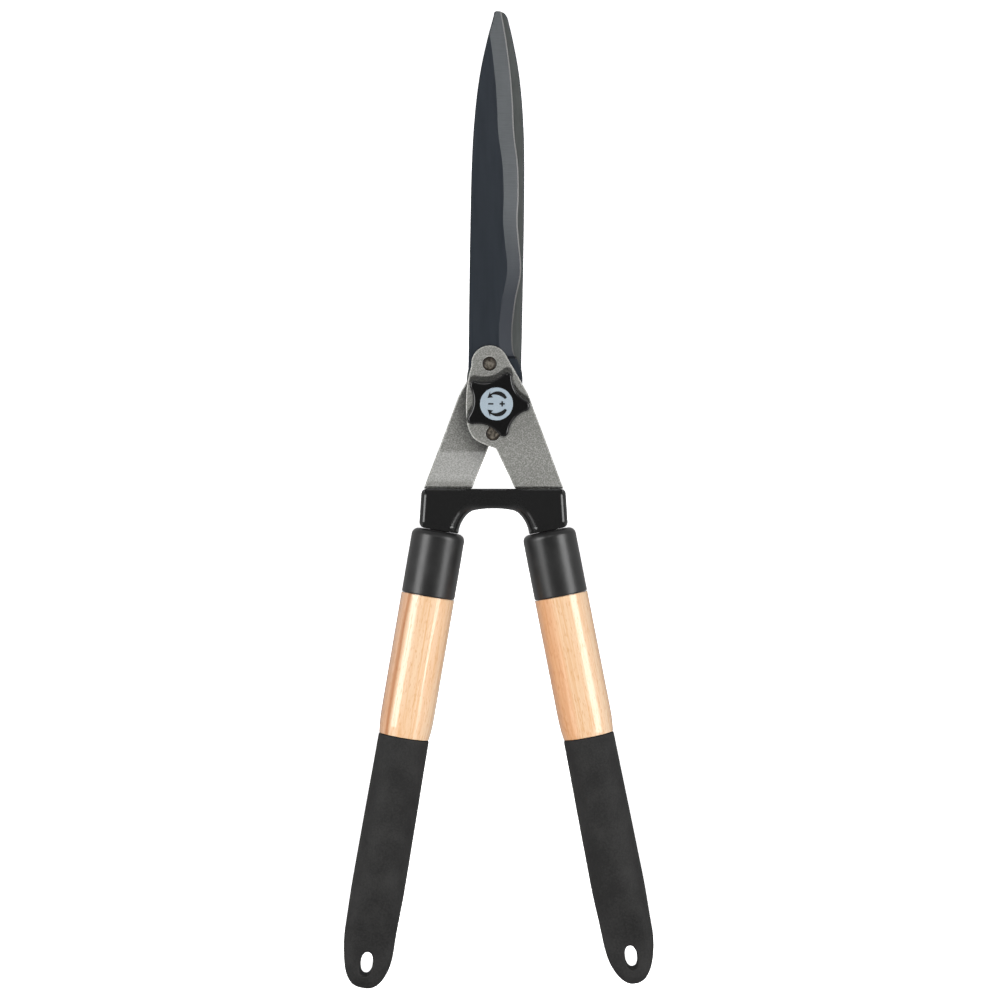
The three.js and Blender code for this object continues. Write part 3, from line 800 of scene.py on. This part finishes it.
spine_offset = smooth([
    (-15.5, 8.7), (-5, 12), (5, 14.3), (19, 15.1), (30, 15.2), (95, 15.4), (143, 15),
    (170, 13.5), (191, 11), (209, 7.4), (223, 3.9),
])
edge_offset = smooth([
    (-15.5, 7.7), (-9.8, 13.0), (0, 15.2), (10.3, 15.8), (18.8, 15.6), (27, 12.4), (31, 10.6),
    (43, 9.8), (60, 11.4), (77, 14.2), (95, 12.6), (106, 11.7), (121, 12.1), (138, 11.4),
    (156, 9), (175, 7.8), (192, 6.1), (209, 3.65), (226, 0.4),
])
bevel_width = smooth([(30, 7.7), (100, 8.3), (150, 9.2)])


def blade_sides(along, tip_radius):
    """The spine's and the edge's place across the blade, at a distance along it."""
    if along < HEEL_CENTRE[1]:
        reach = math.sqrt(max(HEEL_RADIUS**2 - (along - HEEL_CENTRE[1]) ** 2, 0.2))
        return HEEL_CENTRE[0] - reach, HEEL_CENTRE[0] + reach
    into = ramp(BLADE_TIP - tip_radius, BLADE_TIP, along)
    rounding = tip_radius * (1 - math.sqrt(1 - into * into))
    spine = -max(spine_offset(along) - rounding, 0.25)
    return spine, max(edge_offset(along), spine + 0.65)


def blade_section(along, tip_radius):
    """The blade's section as a ring of eleven points, from the spine's top edge round."""
    spine, edge = blade_sides(along, tip_radius)
    width = edge - spine
    rounding = min(0.5, 0.12 * width)
    ground = ease(*BEVEL_START, along)
    honed_from = edge - min(HONED_WIDTH, 0.3 * width)
    bevel_from = max(edge - bevel_width(along), spine + 1.3 * rounding)
    honed_low = BLADE_LOW + 0.95
    slope = (BLADE_HIGH - honed_low) / (bevel_width(along) - HONED_WIDTH)

    def top(x):
        sloping = honed_low + max(honed_from - x, 0) * slope
        return BLADE_HIGH + (min(sloping, BLADE_HIGH) - BLADE_HIGH) * ground

    edge_top = BLADE_HIGH - rounding + (BLADE_LOW + 0.3 - BLADE_HIGH + rounding) * ground
    spine_top = top(spine)
    points = [
        (spine, spine_top - rounding),
        (spine + 0.3 * rounding, spine_top - 0.3 * rounding),
        (spine + rounding, spine_top),
        (bevel_from, top(bevel_from)),
        (honed_from, top(honed_from)),
        (edge - 0.02, (edge_top + top(honed_from)) / 2 if ground < 0.5 else edge_top + 0.02),
        (edge, edge_top),
        (edge, BLADE_LOW),
        (spine + rounding, BLADE_LOW),
        (spine + 0.3 * rounding, BLADE_LOW + 0.3 * rounding),
        (spine, BLADE_LOW + rounding),
    ]
    return [(x, along, z) for x, z in points]


def blade(side):
    half = HALVES[side]
    heel_low = HEEL_CENTRE[1] - HEEL_RADIUS
    along = [heel_low + HEEL_RADIUS * (1 - math.cos(math.pi / 2 * i / 14)) for i in range(14)]
    along += spread(HEEL_CENTRE[1], BEVEL_START[0], 0.8)
    along += spread(*BEVEL_START, 0.3)
    along += spread(BEVEL_START[1], 212, 1.0)
    along += spread(212, BLADE_TIP - 1.6, 0.5)
    along += [BLADE_TIP - 1.6 * (1 - i / 8) ** 1.7 for i in range(9)]

    def slot_of(step, point):
        """0 for the coating, 1 the ground bevel, 2 the honed edge and 3 the sliding face."""
        if point == 7:
            return 3
        if along[step] < BEVEL_START[0]:
            return 0
        return {3: 1, 4: 2, 5: 2}.get(point, 0)

    bm = loft([blade_section(v, half["tip_radius"]) for v in along], slot_of)
    lean = Matrix.Rotation(math.radians(-half["blade_lean"]), 4, "Z")
    bm.transform(Matrix.Translation((half["blade_x"], 0, 0)) @ lean)
    pivot_hole = peg(BOLT_RADIUS + GAP, -2, 6, half["pivot"])
    tools = [pivot_hole, rivet_hole(UPPER_RIVET), rivet_hole(LOWER_RIVET)]
    name = f"{half['blade']}_blade"
    piece(
        f"{name}_steel", bm, TO_HALF[side], f"{side}_half", [name],
        [COATING, BEVEL, HONED, SLIDING], tools, sharp=40,
    )


# ---- arms and rivets


def rivet_hole(centre):
    radius, flare = RIVET_RADIUS + GAP, RIVET_FLARE + GAP
    profile = [(0, -1), (flare, -1), (flare, BLADE_LOW), (radius, BLADE_LOW + 1), (radius, 6), (0, 6)]
    return turned(profile, 48, True, centre)


def rivet(side, level, centre):
    """A rivet: shank, flush end in the blade and a slightly flattened dome set into the arm."""
    under = ARM_HIGH - 1.3
    radius, height = RIVET_DOME
    profile = [
        (0, BLADE_LOW), (RIVET_FLARE - 0.1, BLADE_LOW), (RIVET_FLARE, BLADE_LOW + 0.1),
        (RIVET_RADIUS, BLADE_LOW + 1.1), (RIVET_RADIUS, under),
        (radius - 0.1, under), (radius, under + 0.1),
        *arc((0, ARM_HIGH), (radius, height + 0.15), 0, 62, 10),
        *arc((0, ARM_HIGH + height - 0.04), (0.44 * radius, 0.34), 50, 90, 4),
    ]
    name = f"{HALVES[side]['blade']}_{level}_rivet"
    bm = turned(profile, 64, True, centre)
    piece(
        f"{name}_head", bm, TO_HALF[side], f"{side}_half", [name], [BRONZE], sharp=35,
    )


def arm_outline(half):
    """The arm seen from the front: round head, wide plate and narrow tang."""
    inner, outer = -TANG_WIDTH / 2, TANG_WIDTH / 2
    tang_top = (half["handle_top"][1] - SHOULDER_Y) / math.cos(math.radians(half["handle_lean"]))
    tang_inner = (on_handle(half, tang_top, inner)[0], SHOULDER_Y)
    tang_outer = (on_handle(half, tang_top, outer)[0], SHOULDER_Y)
    head = arc(HEAD_CENTRE, HEAD_RADIUS, 30, 186, 40)
    crotch, inner_corner = (-2.2, -23.8), half["inner_corner"]
    inner_shoulder, outer_shoulder = (12.4, SHOULDER_Y), (40.1, SHOULDER_Y)
    elbow = (19.7, 6.4)
    left_side = [head[-1], (-15.1, 12), (-15.8, -2), (-14.6, -13), (-10.4, -19.9), crotch]
    points = head + flowing(left_side)[1:-1]
    points += corner(crotch, inner_corner, inner_shoulder, 1.2)
    points += corner(inner_corner, inner_shoulder, tang_inner, 0.8, 3)
    points += [tang_inner, on_handle(half, TANG_LENGTH, inner)]
    points += [on_handle(half, TANG_LENGTH, outer), tang_outer]
    points += corner(tang_outer, outer_shoulder, elbow, 0.8, 3)
    points += corner(outer_shoulder, elbow, (6.9, 28.7), 2.4)
    return points


def arm(side):
    half = HALVES[side]
    pivot = half["pivot"]
    reach = BOLT_RADIUS + GAP
    hole = arc(pivot, reach, 360, 5, 71)
    if side == "left":
        turns = [(-1, -1), (-1, 1), (1, 1), (1, -1)]
        hole = thickened([(pivot[0] + x * reach, pivot[1] + y * reach) for x, y in turns], 1.0)
    rivet_radius = RIVET_DOME[0] + RIVET_MOAT
    rivets = (UPPER_RIVET, LOWER_RIVET)
    loops = [thickened(arm_outline(half), 1.0), hole]
    loops += [arc(rivet, rivet_radius, 360, 10, 35) for rivet in rivets]
    half_thick = ARM_THICKNESS / 2

    def rounding(x, y):
        near_rivet = min(math.dist((x, y), rivet) for rivet in rivets) < rivet_radius + 1
        return RIVET_HOLE_ROUNDING if near_rivet else ARM_ROUNDING

    bm = rounded_plate(loops, -half_thick, half_thick, rounding, 5, 1)
    rise = (ARM_LOW + ARM_HIGH) / 2
    soft = ARM_BEND_SOFTNESS

    def height(y):
        """The bent arm's height: the average of a ramp over a short stretch."""
        samples = [y - soft + 2 * soft * (i + 0.5) / 8 for i in range(8)]
        return rise * sum(ramp(*ARM_BEND, at) for at in samples) / 8

    bend(bm, spread(ARM_BEND[0] - soft, ARM_BEND[1] + soft, 0.8), height)
    name = f"{half['blade']}_arm"
    piece(
        f"{name}_plate", bm, TO_HALF[side], f"{side}_half", [name],
        # the second material, on the rounded edges, is a painted edge highlight
        [HAMMERTONE[side], EDGE_HIGHLIGHT_PAINT],
    )


# ---- pivot stack


def pivot_bolt():
    """Carriage bolt: domed head at the back, square neck and a chamfered end."""
    face = -ARM_HIGH - GAP
    radius, height = BOLT_HEAD
    bm = turned([
        *arc((0, face - 1), (radius, height), -90, 0, 20),
        *arc((radius - 0.3, face - 0.3), 0.3, 0, 90, 4),
        (BOLT_RADIUS, face), (BOLT_RADIUS, BOLT_TOP - 0.8), (BOLT_RADIUS - 0.8, BOLT_TOP), (0, BOLT_TOP),
    ], 80, True, PIVOT)
    obj = piece("carriage_bolt", bm, TO_FRAME, "left_half", ["pivot_bolt"], [ZINC])
    low = (PIVOT_X - BOLT_RADIUS, -BOLT_RADIUS, face - 0.4)
    high = (PIVOT_X + BOLT_RADIUS, BOLT_RADIUS, -ARM_LOW - 0.2)
    carve(obj, box(low, high), "UNION")


def washer(name, node, body, radii, low, thickness, cone=0.0):
    """A washer with softened rims. cone lifts its inner rim."""
    inner, outer = radii
    rim = 0.15
    profile = [
        (inner, low + cone + rim), (inner + rim, low + cone), (outer - rim, low), (outer, low + rim),
        (outer, low + thickness - rim), (outer - rim, low + thickness),
        (inner + rim, low + cone + thickness), (inner, low + cone + thickness - rim),
        (inner, low + cone + rim),
    ]
    bm = turned(profile, 80, True, PIVOT)
    piece(name, bm, TO_FRAME, body, [node], [ZINC])


def star_ring(height, grow):
    """The star's outline at a height: round lobe ends joined by arcs that touch them."""
    pitch = 360 / KNOB_LOBES
    to_hollow = math.radians(pitch / 2)
    lobe_centre = KNOB_REACH - KNOB_LOBE_RADIUS
    neck = KNOB_VALLEY - KNOB_LOBE_RADIUS
    hollow_centre = (lobe_centre**2 - neck**2) / (2 * (lobe_centre * math.cos(to_hollow) - neck))
    lobe_radius = KNOB_LOBE_RADIUS + grow
    hollow_radius = hollow_centre - KNOB_VALLEY - grow
    side = (hollow_centre * math.cos(to_hollow) - lobe_centre, hollow_centre * math.sin(to_hollow))
    lobe_spread = math.degrees(math.atan2(side[1], side[0]))
    hollow_spread = lobe_spread - pitch / 2
    ring = []
    for lobe in range(KNOB_LOBES):
        out = KNOB_FIRST_LOBE + lobe * pitch
        lobe_at = polar(PIVOT, lobe_centre, out)
        hollow_at = polar(PIVOT, hollow_centre, out + pitch / 2)
        back = out + pitch / 2 + 180
        ring += arc(lobe_at, lobe_radius, out - lobe_spread, out + lobe_spread, 16)
        hollow = arc(hollow_at, hollow_radius, back + hollow_spread, back - hollow_spread, 17)
        ring += hollow[1:-1]
    return [(x, y, height) for x, y in ring]


def circle_ring(height, radius, like):
    """A circle with one point in the direction of each point of another ring."""
    angles = [math.degrees(math.atan2(y - PIVOT[1], x - PIVOT[0])) for x, y, _ in like]
    return [(*polar(PIVOT, radius, angle), height) for angle in angles]


def knob():
    """Star knob: drafted flanks, a rounded top edge and a seat for the label."""
    outer = star_ring(0, 0)
    flank = [(0, KNOB_DRAFT - 0.5), (0.5, KNOB_DRAFT), (6, KNOB_DRAFT * 0.5)]
    rings = [star_ring(KNOB_LOW + rise, grow) for rise, grow in flank]
    for point, rise in arc((0, 0), KNOB_CROWN, 0, 90, 8):
        rings.append(star_ring(KNOB_HIGH - KNOB_CROWN + rise, point - KNOB_CROWN))
    seat = LABEL_RADIUS + GAP
    floor = KNOB_HIGH - LABEL_THICKNESS - GAP
    for height, radius in (
        (KNOB_HIGH, seat), (KNOB_HIGH - 0.1, seat - 0.1), (floor, seat - 0.1), (floor, seat * 0.5),
    ):
        rings.append(circle_ring(height, radius, outer))
    bore = peg(BOLT_RADIUS + GAP, KNOB_LOW - 1, KNOB_LOW + KNOB_BORE, PIVOT)
    pocket = peg(NUT_ACROSS / math.sqrt(3), KNOB_LOW - 1, KNOB_LOW + NUT_POCKET, PIVOT, 6)
    piece(
        "star_knob", loft(rings), TO_FRAME, "tension_knob", ["knob"], [KNOB_BLACK],
        [bore, pocket], sharp=32,
    )


def label():
    low = KNOB_HIGH - LABEL_THICKNESS
    profile = [
        (0, low), (LABEL_RADIUS, low), (LABEL_RADIUS, KNOB_HIGH - 0.15),
        (LABEL_RADIUS - 0.15, KNOB_HIGH - 0.03), (LABEL_RADIUS - 0.6, KNOB_HIGH), (0, KNOB_HIGH),
    ]
    bm = turned(profile, 128, True, PIVOT)
    piece("label_disc", bm, TO_FRAME, "tension_knob", ["knob_label"], [LABEL])


def turn_arrow(upside):
    """A plain curved arrow printed on the label, thickest in its bow; upside is 1 or -1."""
    radius, start, sweep, head = 6.1, 30, 92, 26
    bow = [(i / 24, 0.5 + 0.65 * math.sin(math.pi * min(i / 24 + 0.1, 1))) for i in range(25)]
    outer = [polar(PIVOT, radius + half, start + sweep * t) for t, half in bow]
    inner = [polar(PIVOT, radius - half, start + sweep * t) for t, half in reversed(bow)]
    barb_out = polar(PIVOT, radius + 2.0, start + sweep - 6)
    barb_in = polar(PIVOT, radius - 2.0, start + sweep - 6)
    outline = outer + [barb_out, polar(PIVOT, radius, start + sweep + head), barb_in] + inner
    return printed([(x, PIVOT[1] + (y - PIVOT[1]) * upside) for x, y in outline][::upside])


def printed(outline):
    """A printed shape standing a hair above the label."""
    bm = bmesh.new()
    low, high = KNOB_HIGH + 0.01, KNOB_HIGH + 0.05
    rows = [[bm.verts.new((x, y, z)) for x, y in outline] for z in (low, high)]
    band(bm, *rows)
    for a, b, c in tessellate_polygon([[Vector((x, y, 0)) for x, y in outline]]):
        for row in rows:
            bm.faces.new((row[a], row[b], row[c]))
    return bm


def label_print():
    """Two arrows that bow away from each other, with a minus and a plus between them."""
    shapes = {"upper_arrow": turn_arrow(1), "lower_arrow": turn_arrow(-1)}
    bar, thin = 1.5, 0.45
    minus = [(-bar, -thin), (bar, -thin), (bar, thin), (-bar, thin)]
    quarter = [(thin, -thin), (bar, -thin), (bar, thin)]
    plus = []
    for cos, sin in ((1, 0), (0, 1), (-1, 0), (0, -1)):
        plus += [(cos * x - sin * y, sin * x + cos * y) for x, y in quarter]
    for name, x, outline in (("minus", -3.2, minus), ("plus", 3.2, plus)):
        shapes[f"{name}_mark"] = printed([(PIVOT_X + x + along, up) for along, up in outline])
    for name, bm in shapes.items():
        piece(f"label_{name}", bm, TO_FRAME, "tension_knob", [], [INK])


# ---- bumpers, handles and grips


def tang_slot(start, end):
    """The slot that a tang fills, along the handle's own axis."""
    wide, thick = TANG_WIDTH / 2 + GAP, ARM_THICKNESS / 2 + GAP
    return box((-wide, -end, -thick), (wide, -start, thick))


def bumper(side):
    """Moulded stop around the arm, its legs rounded more deeply inside the arch."""
    half = HALVES[side]
    seam = 0.015
    waist = (6, 18)  # between these the stop thins towards the seam
    inner = on_handle(half, -GAP, -BUMPER_BOTTOM_HALF)
    outer = on_handle(half, -GAP, BUMPER_BOTTOM_HALF)
    side_low = (42.35, outer[1] + 2.2)
    arch = [
        (-4, -59.2), (0.2, -59.2), (5.3, -59.4), (11.8, -60.5), (15.5, -63.1), (18.4, -67.4),
        (inner[0] - 0.1, inner[1] + 1.6),
    ]
    points = flowing(arch, 10)[:-1]
    points += corner(arch[-1], inner, outer, 0.9, 4)
    points += corner(inner, outer, side_low, 3.2, 10)
    points += corner(side_low, (41.2, BUMPER_TOP), (30, BUMPER_TOP), 3.6, 10)
    points += [(-4, BUMPER_TOP)]
    outline = thickened(points, 0.7)

    def rounding(x, y):
        """Edge radius: small along the top and the bottom, deep on the flank and the arch."""
        off_top = ease(0, 3.0, BUMPER_TOP - y)
        off_bottom = ease(0.1, 2.6, y - (inner[1] + (outer[1] - inner[1]) * (x - inner[0]) / 22))
        if x > 34:
            return 0.3 + (0.6 + 3.4 * off_top) * off_bottom
        if y > BUMPER_TOP - 3:
            return 0.9
        return 0.3 + (3.2 + 3.8 * ease(4, 17, x)) * off_bottom

    bm = rounded_plate([outline], -BUMPER_THICKNESS, BUMPER_THICKNESS, rounding, 14)
    for x in (seam, *spread(*waist, 1.0)):
        slice_at(bm, (x, 0, 0), (1, 0, 0), clear=x == seam)
    bmesh.ops.holes_fill(bm, edges=[edge for edge in bm.edges if edge.is_boundary])
    for vert in bm.verts:
        vert.co.z *= 0.9 + 0.1 * ease(*waist, vert.co.x)
    slot = tang_slot(-40, 10)
    slot.transform(handle_frame(half))
    piece(
        f"{side}_bumper_moulding", bm, TO_HALF[side], f"{side}_half",
        [f"{side}_bumper"], [BUMPER_BLACK], [slot], sharp=26,
    )


def ferrule(side):
    """Cap over the wood: rounded shoulder, slight draft and a softened lower lip."""
    radius, shoulder, length = FERRULE_RADIUS, FERRULE_SHOULDER, FERRULE_LENGTH
    inside = radius - 1.5
    bm = turned([
        (0, -2.5), (inside, -2.5), (inside, -length + 0.2), (inside + 0.2, -length),
        *arc((radius - 0.7, -length + 0.7), 0.7, -90, 0, 6),
        (radius + 0.02, -length * 0.5), (radius - 0.02, -shoulder - 1.5),
        *arc((radius - shoulder, -shoulder), shoulder, 0, 90, 14),
        (0, 0),
    ])
    piece(
        f"{side}_ferrule_cap", bm, to_handle(side), f"{side}_half",
        [f"{side}_ferrule"], [SATIN_BLACK], [tang_slot(-5, 10)],
    )


def wood(side):
    """Turned handle: barrel tapering into the grip, with a spigot at each end."""
    low, high = -GRIP_START + GAP, -FERRULE_LENGTH - GAP
    grip_spigot, cap_spigot, top = GRIP_BORE - GAP, FERRULE_RADIUS - 1.9, -2.8
    bm = turned([
        (0, -WOOD_END), (grip_spigot - 1.5, -WOOD_END), (grip_spigot, -WOOD_END + 1.5),
        (grip_spigot, low), (GRIP_START_RADIUS - 0.25, low), (GRIP_START_RADIUS - 0.1, low + 0.6),
        (WOOD_RADIUS - 0.3, low + 5), (WOOD_RADIUS - 0.08, low + 9), (WOOD_RADIUS, low + 14),
        (WOOD_RADIUS, high - 0.15), (WOOD_RADIUS - 0.15, high),
        (cap_spigot, high), (cap_spigot, top), (0, top),
    ], 128)
    piece(
        f"{side}_wood", bm, to_handle(side), f"{side}_half",
        [f"{side}_handle"], [WOOD[side]], [tang_slot(0, TANG_LENGTH + 1)],
    )


grip_radius = smooth([(GRIP_START, GRIP_START_RADIUS), (140, 14.75), (165, 15), (205, 15.3)])


def grip_section(half, down):
    """Half the grip's width and thickness, its lean and its squareness, down the handle."""
    end, tip = half["grip_end"], half["grip_round"]
    power = tip["power"]
    into = ramp(end - tip["length"], end, down)
    widening = ease(*TAB_WIDENING, down)
    radius = grip_radius(down) * (1 - widening) + tip["half_width"] * widening
    width = radius * (1 - into**power) ** (1 / power)
    flat = ease(*TAB_THINNING, down)
    thickness = radius * (1 - flat) + TAB_HALF_THICKNESS * flat
    last = ramp(end - TAB_END, end, down)
    thickness *= (1 - last**TAB_END_POWER) ** (1 / TAB_END_POWER)
    return width, thickness, -tip["shift"] * ease(0, 0.62, into), 2 + 1.4 * flat


def grip(side):
    """Rubber sleeve over the wood, thinned at the end to a tab with a hang hole."""
    half = HALVES[side]
    end = half["grip_end"]
    start, radius, bore = GRIP_START, GRIP_START_RADIUS, GRIP_BORE
    mouth = [
        (WOOD_END + 1, bore), (start + 0.5, bore), (start + 0.1, bore + 0.3), (start, bore + 0.9),
        (start, radius - 0.8), (start + 0.25, radius - 0.25), (start + 0.8, radius),
    ]
    rings = [grip_ring(down, width, width, 0, 2) for down, width in mouth]
    stations = spread(start + 3, 208, 4.0) + spread(208, end - 10, 1.2)
    stations += [end - 10 * (1 - i / 18) ** 2.2 for i in range(18)] + [end - 0.002]
    rings += [grip_ring(down, *grip_section(half, down)) for down in stations]
    piece(
        f"{side}_grip_sleeve", loft(rings), to_handle(side), f"{side}_half",
        [f"{side}_grip"], [RUBBER], [hang_hole(half)], sharp=40,
    )


def grip_ring(down, width, thickness, shift, power):
    """A ring around the sleeve at a distance down the handle, from a section's values."""
    return [(x, -down, z) for x, z in oval((shift, 0), (width, thickness), power)]


def hang_hole(half):
    """A cutter for the oval hole, flared at both ends so that its rims come out rounded."""
    centre = (-0.8 * half["grip_round"]["shift"], half["hole_from_end"] - half["grip_end"])
    straight = TAB_HALF_THICKNESS - HOLE_RIM
    upper = [(HOLE_RIM - x, straight + z) for x, z in arc((0, 0), HOLE_RIM, 0, 80, 8)]
    upper.append((HOLE_RIM + 0.6, TAB_HALF_THICKNESS + 0.4))
    levels = [(flare, -height) for flare, height in reversed(upper)] + upper
    rings = []
    for flare, height in levels:
        radii = (HOLE_HALF[0] + flare, HOLE_HALF[1] + flare)
        rings.append([(x, y, height) for x, y in oval(centre, radii, HOLE_POWER, 72)])
    return loft(rings)


# ---- stage


def backdrop():
    """A white cove that lights nothing and isn't mirrored by anything."""
    finish = Finish(
        "cove_white", Roughness=0.9, Emission_Color=(1, 1, 1, 1), Emission_Strength=1.0,
    )
    paper = finish.noise(0.004, 2)
    finish.paint(finish.tones(paper, grey(0.86), grey(0.9)))
    flat, lift, wall = 3.0, 1.0, 4.0
    profile = [(0, 0), (0.5 * flat, 0), *arc((flat, lift), lift, -90, 0, 16), (flat + lift, wall)]
    cove = add_object("cove", turned(profile, upright=True))
    cove.data.shade_smooth()
    cove.data.materials.append(finish.material)
    cove.location.z = -0.0003
    cove.visible_diffuse = False
    cove.visible_glossy = False
    cove.visible_shadow = False


def floor_bounce():
    """A world that lights the shears as a pale floor would, mostly from below."""
    world = bpy.data.worlds.new("studio")
    bpy.context.scene.world = world
    world.use_nodes = True
    nodes = Nodes(world.node_tree)
    background = nodes.tree.nodes["Background"].inputs
    upward = nodes.part(nodes.add("ShaderNodeTexCoord").outputs["Generated"], "Z")
    nodes.tree.links.new(nodes.ranged(upward, -0.1, 0.85, 0.50, 0.03), background["Strength"])
    background["Color"].default_value = (1, 1, 1, 1)


def lamps():
    """Soft boxes at both sides and past the tips, and a small key over the grips."""
    for side, x, y in (("left", -1.45, 0.37), ("right", 1.45, 0.27)):
        soft_box(f"{side}_shine", (x, y, 1.2), (0.95, 1.46), 6.3, True)
        soft_box(f"{side}_fill", (x, 0, 0.42), (0.7, 1.6), 2.2, False)
    soft_box("top_shine", (0, 0.98, 1.7), (0.5, 0.34), 5.0, True)
    for side, x, radiance in (("left", -1.35, 1.6), ("right", 1.35, 2.4)):
        soft_box(f"low_{side}_shine", (x, -0.78, 1.2), (0.6, 0.6), radiance, True)
    soft_box("key", (0, -0.36, 1.9), (0.07, 0.07), 2050.0, False)


def soft_box(name, at, size, radiance, reflected):
    """A rectangular lamp facing the middle of the shears, either only reflected or only lighting."""
    data = bpy.data.lights.new(name, "AREA")
    data.shape = "RECTANGLE"
    data.size, data.size_y = size
    data.energy = radiance * math.pi * size[0] * size[1]
    lamp = add_object(name, data)
    lamp.location = at
    lamp.rotation_euler = (-Vector(at)).to_track_quat("-Z", "X").to_euler()
    lamp.visible_camera = False
    lamp.visible_diffuse = not reflected
    lamp.visible_glossy = reflected


def camera():
    """Straight above the shears' middle, blades up, as far off as the perspective shows."""
    distance, seen_width = 1.72, 0.573
    off_middle = Vector((0.0037, -0.0543, distance))
    data = bpy.data.cameras.new("camera")
    data.sensor_width = 36
    data.lens = data.sensor_width * distance / seen_width
    view = add_object("camera", data)
    view.location = MIDDLE + off_middle
    bpy.context.scene.camera = view


# ---- assembly

for side in HALVES:
    blade(side)
    arm(side)
    rivet(side, "upper", UPPER_RIVET)
    rivet(side, "lower", LOWER_RIVET)
    bumper(side)
    ferrule(side)
    wood(side)
    grip(side)

pivot_bolt()
washer(
    "cone_washer", "spring_washer", "left_half", SPRING_RADII, SPRING_LOW, SPRING_THICKNESS, SPRING_CONE,
)
washer("flat_washer", "thrust_washer", "tension_washer", THRUST_RADII, THRUST_LOW, THRUST_THICKNESS)
knob()
label()
label_print()

knob_nut = frame["nodes"]["knob_nut"]
knob_nut.data.materials.clear()
knob_nut.data.materials.append(ZINC)

backdrop()
floor_bounce()
lamps()
camera()
bpy.context.scene.view_settings.view_transform = "Standard"
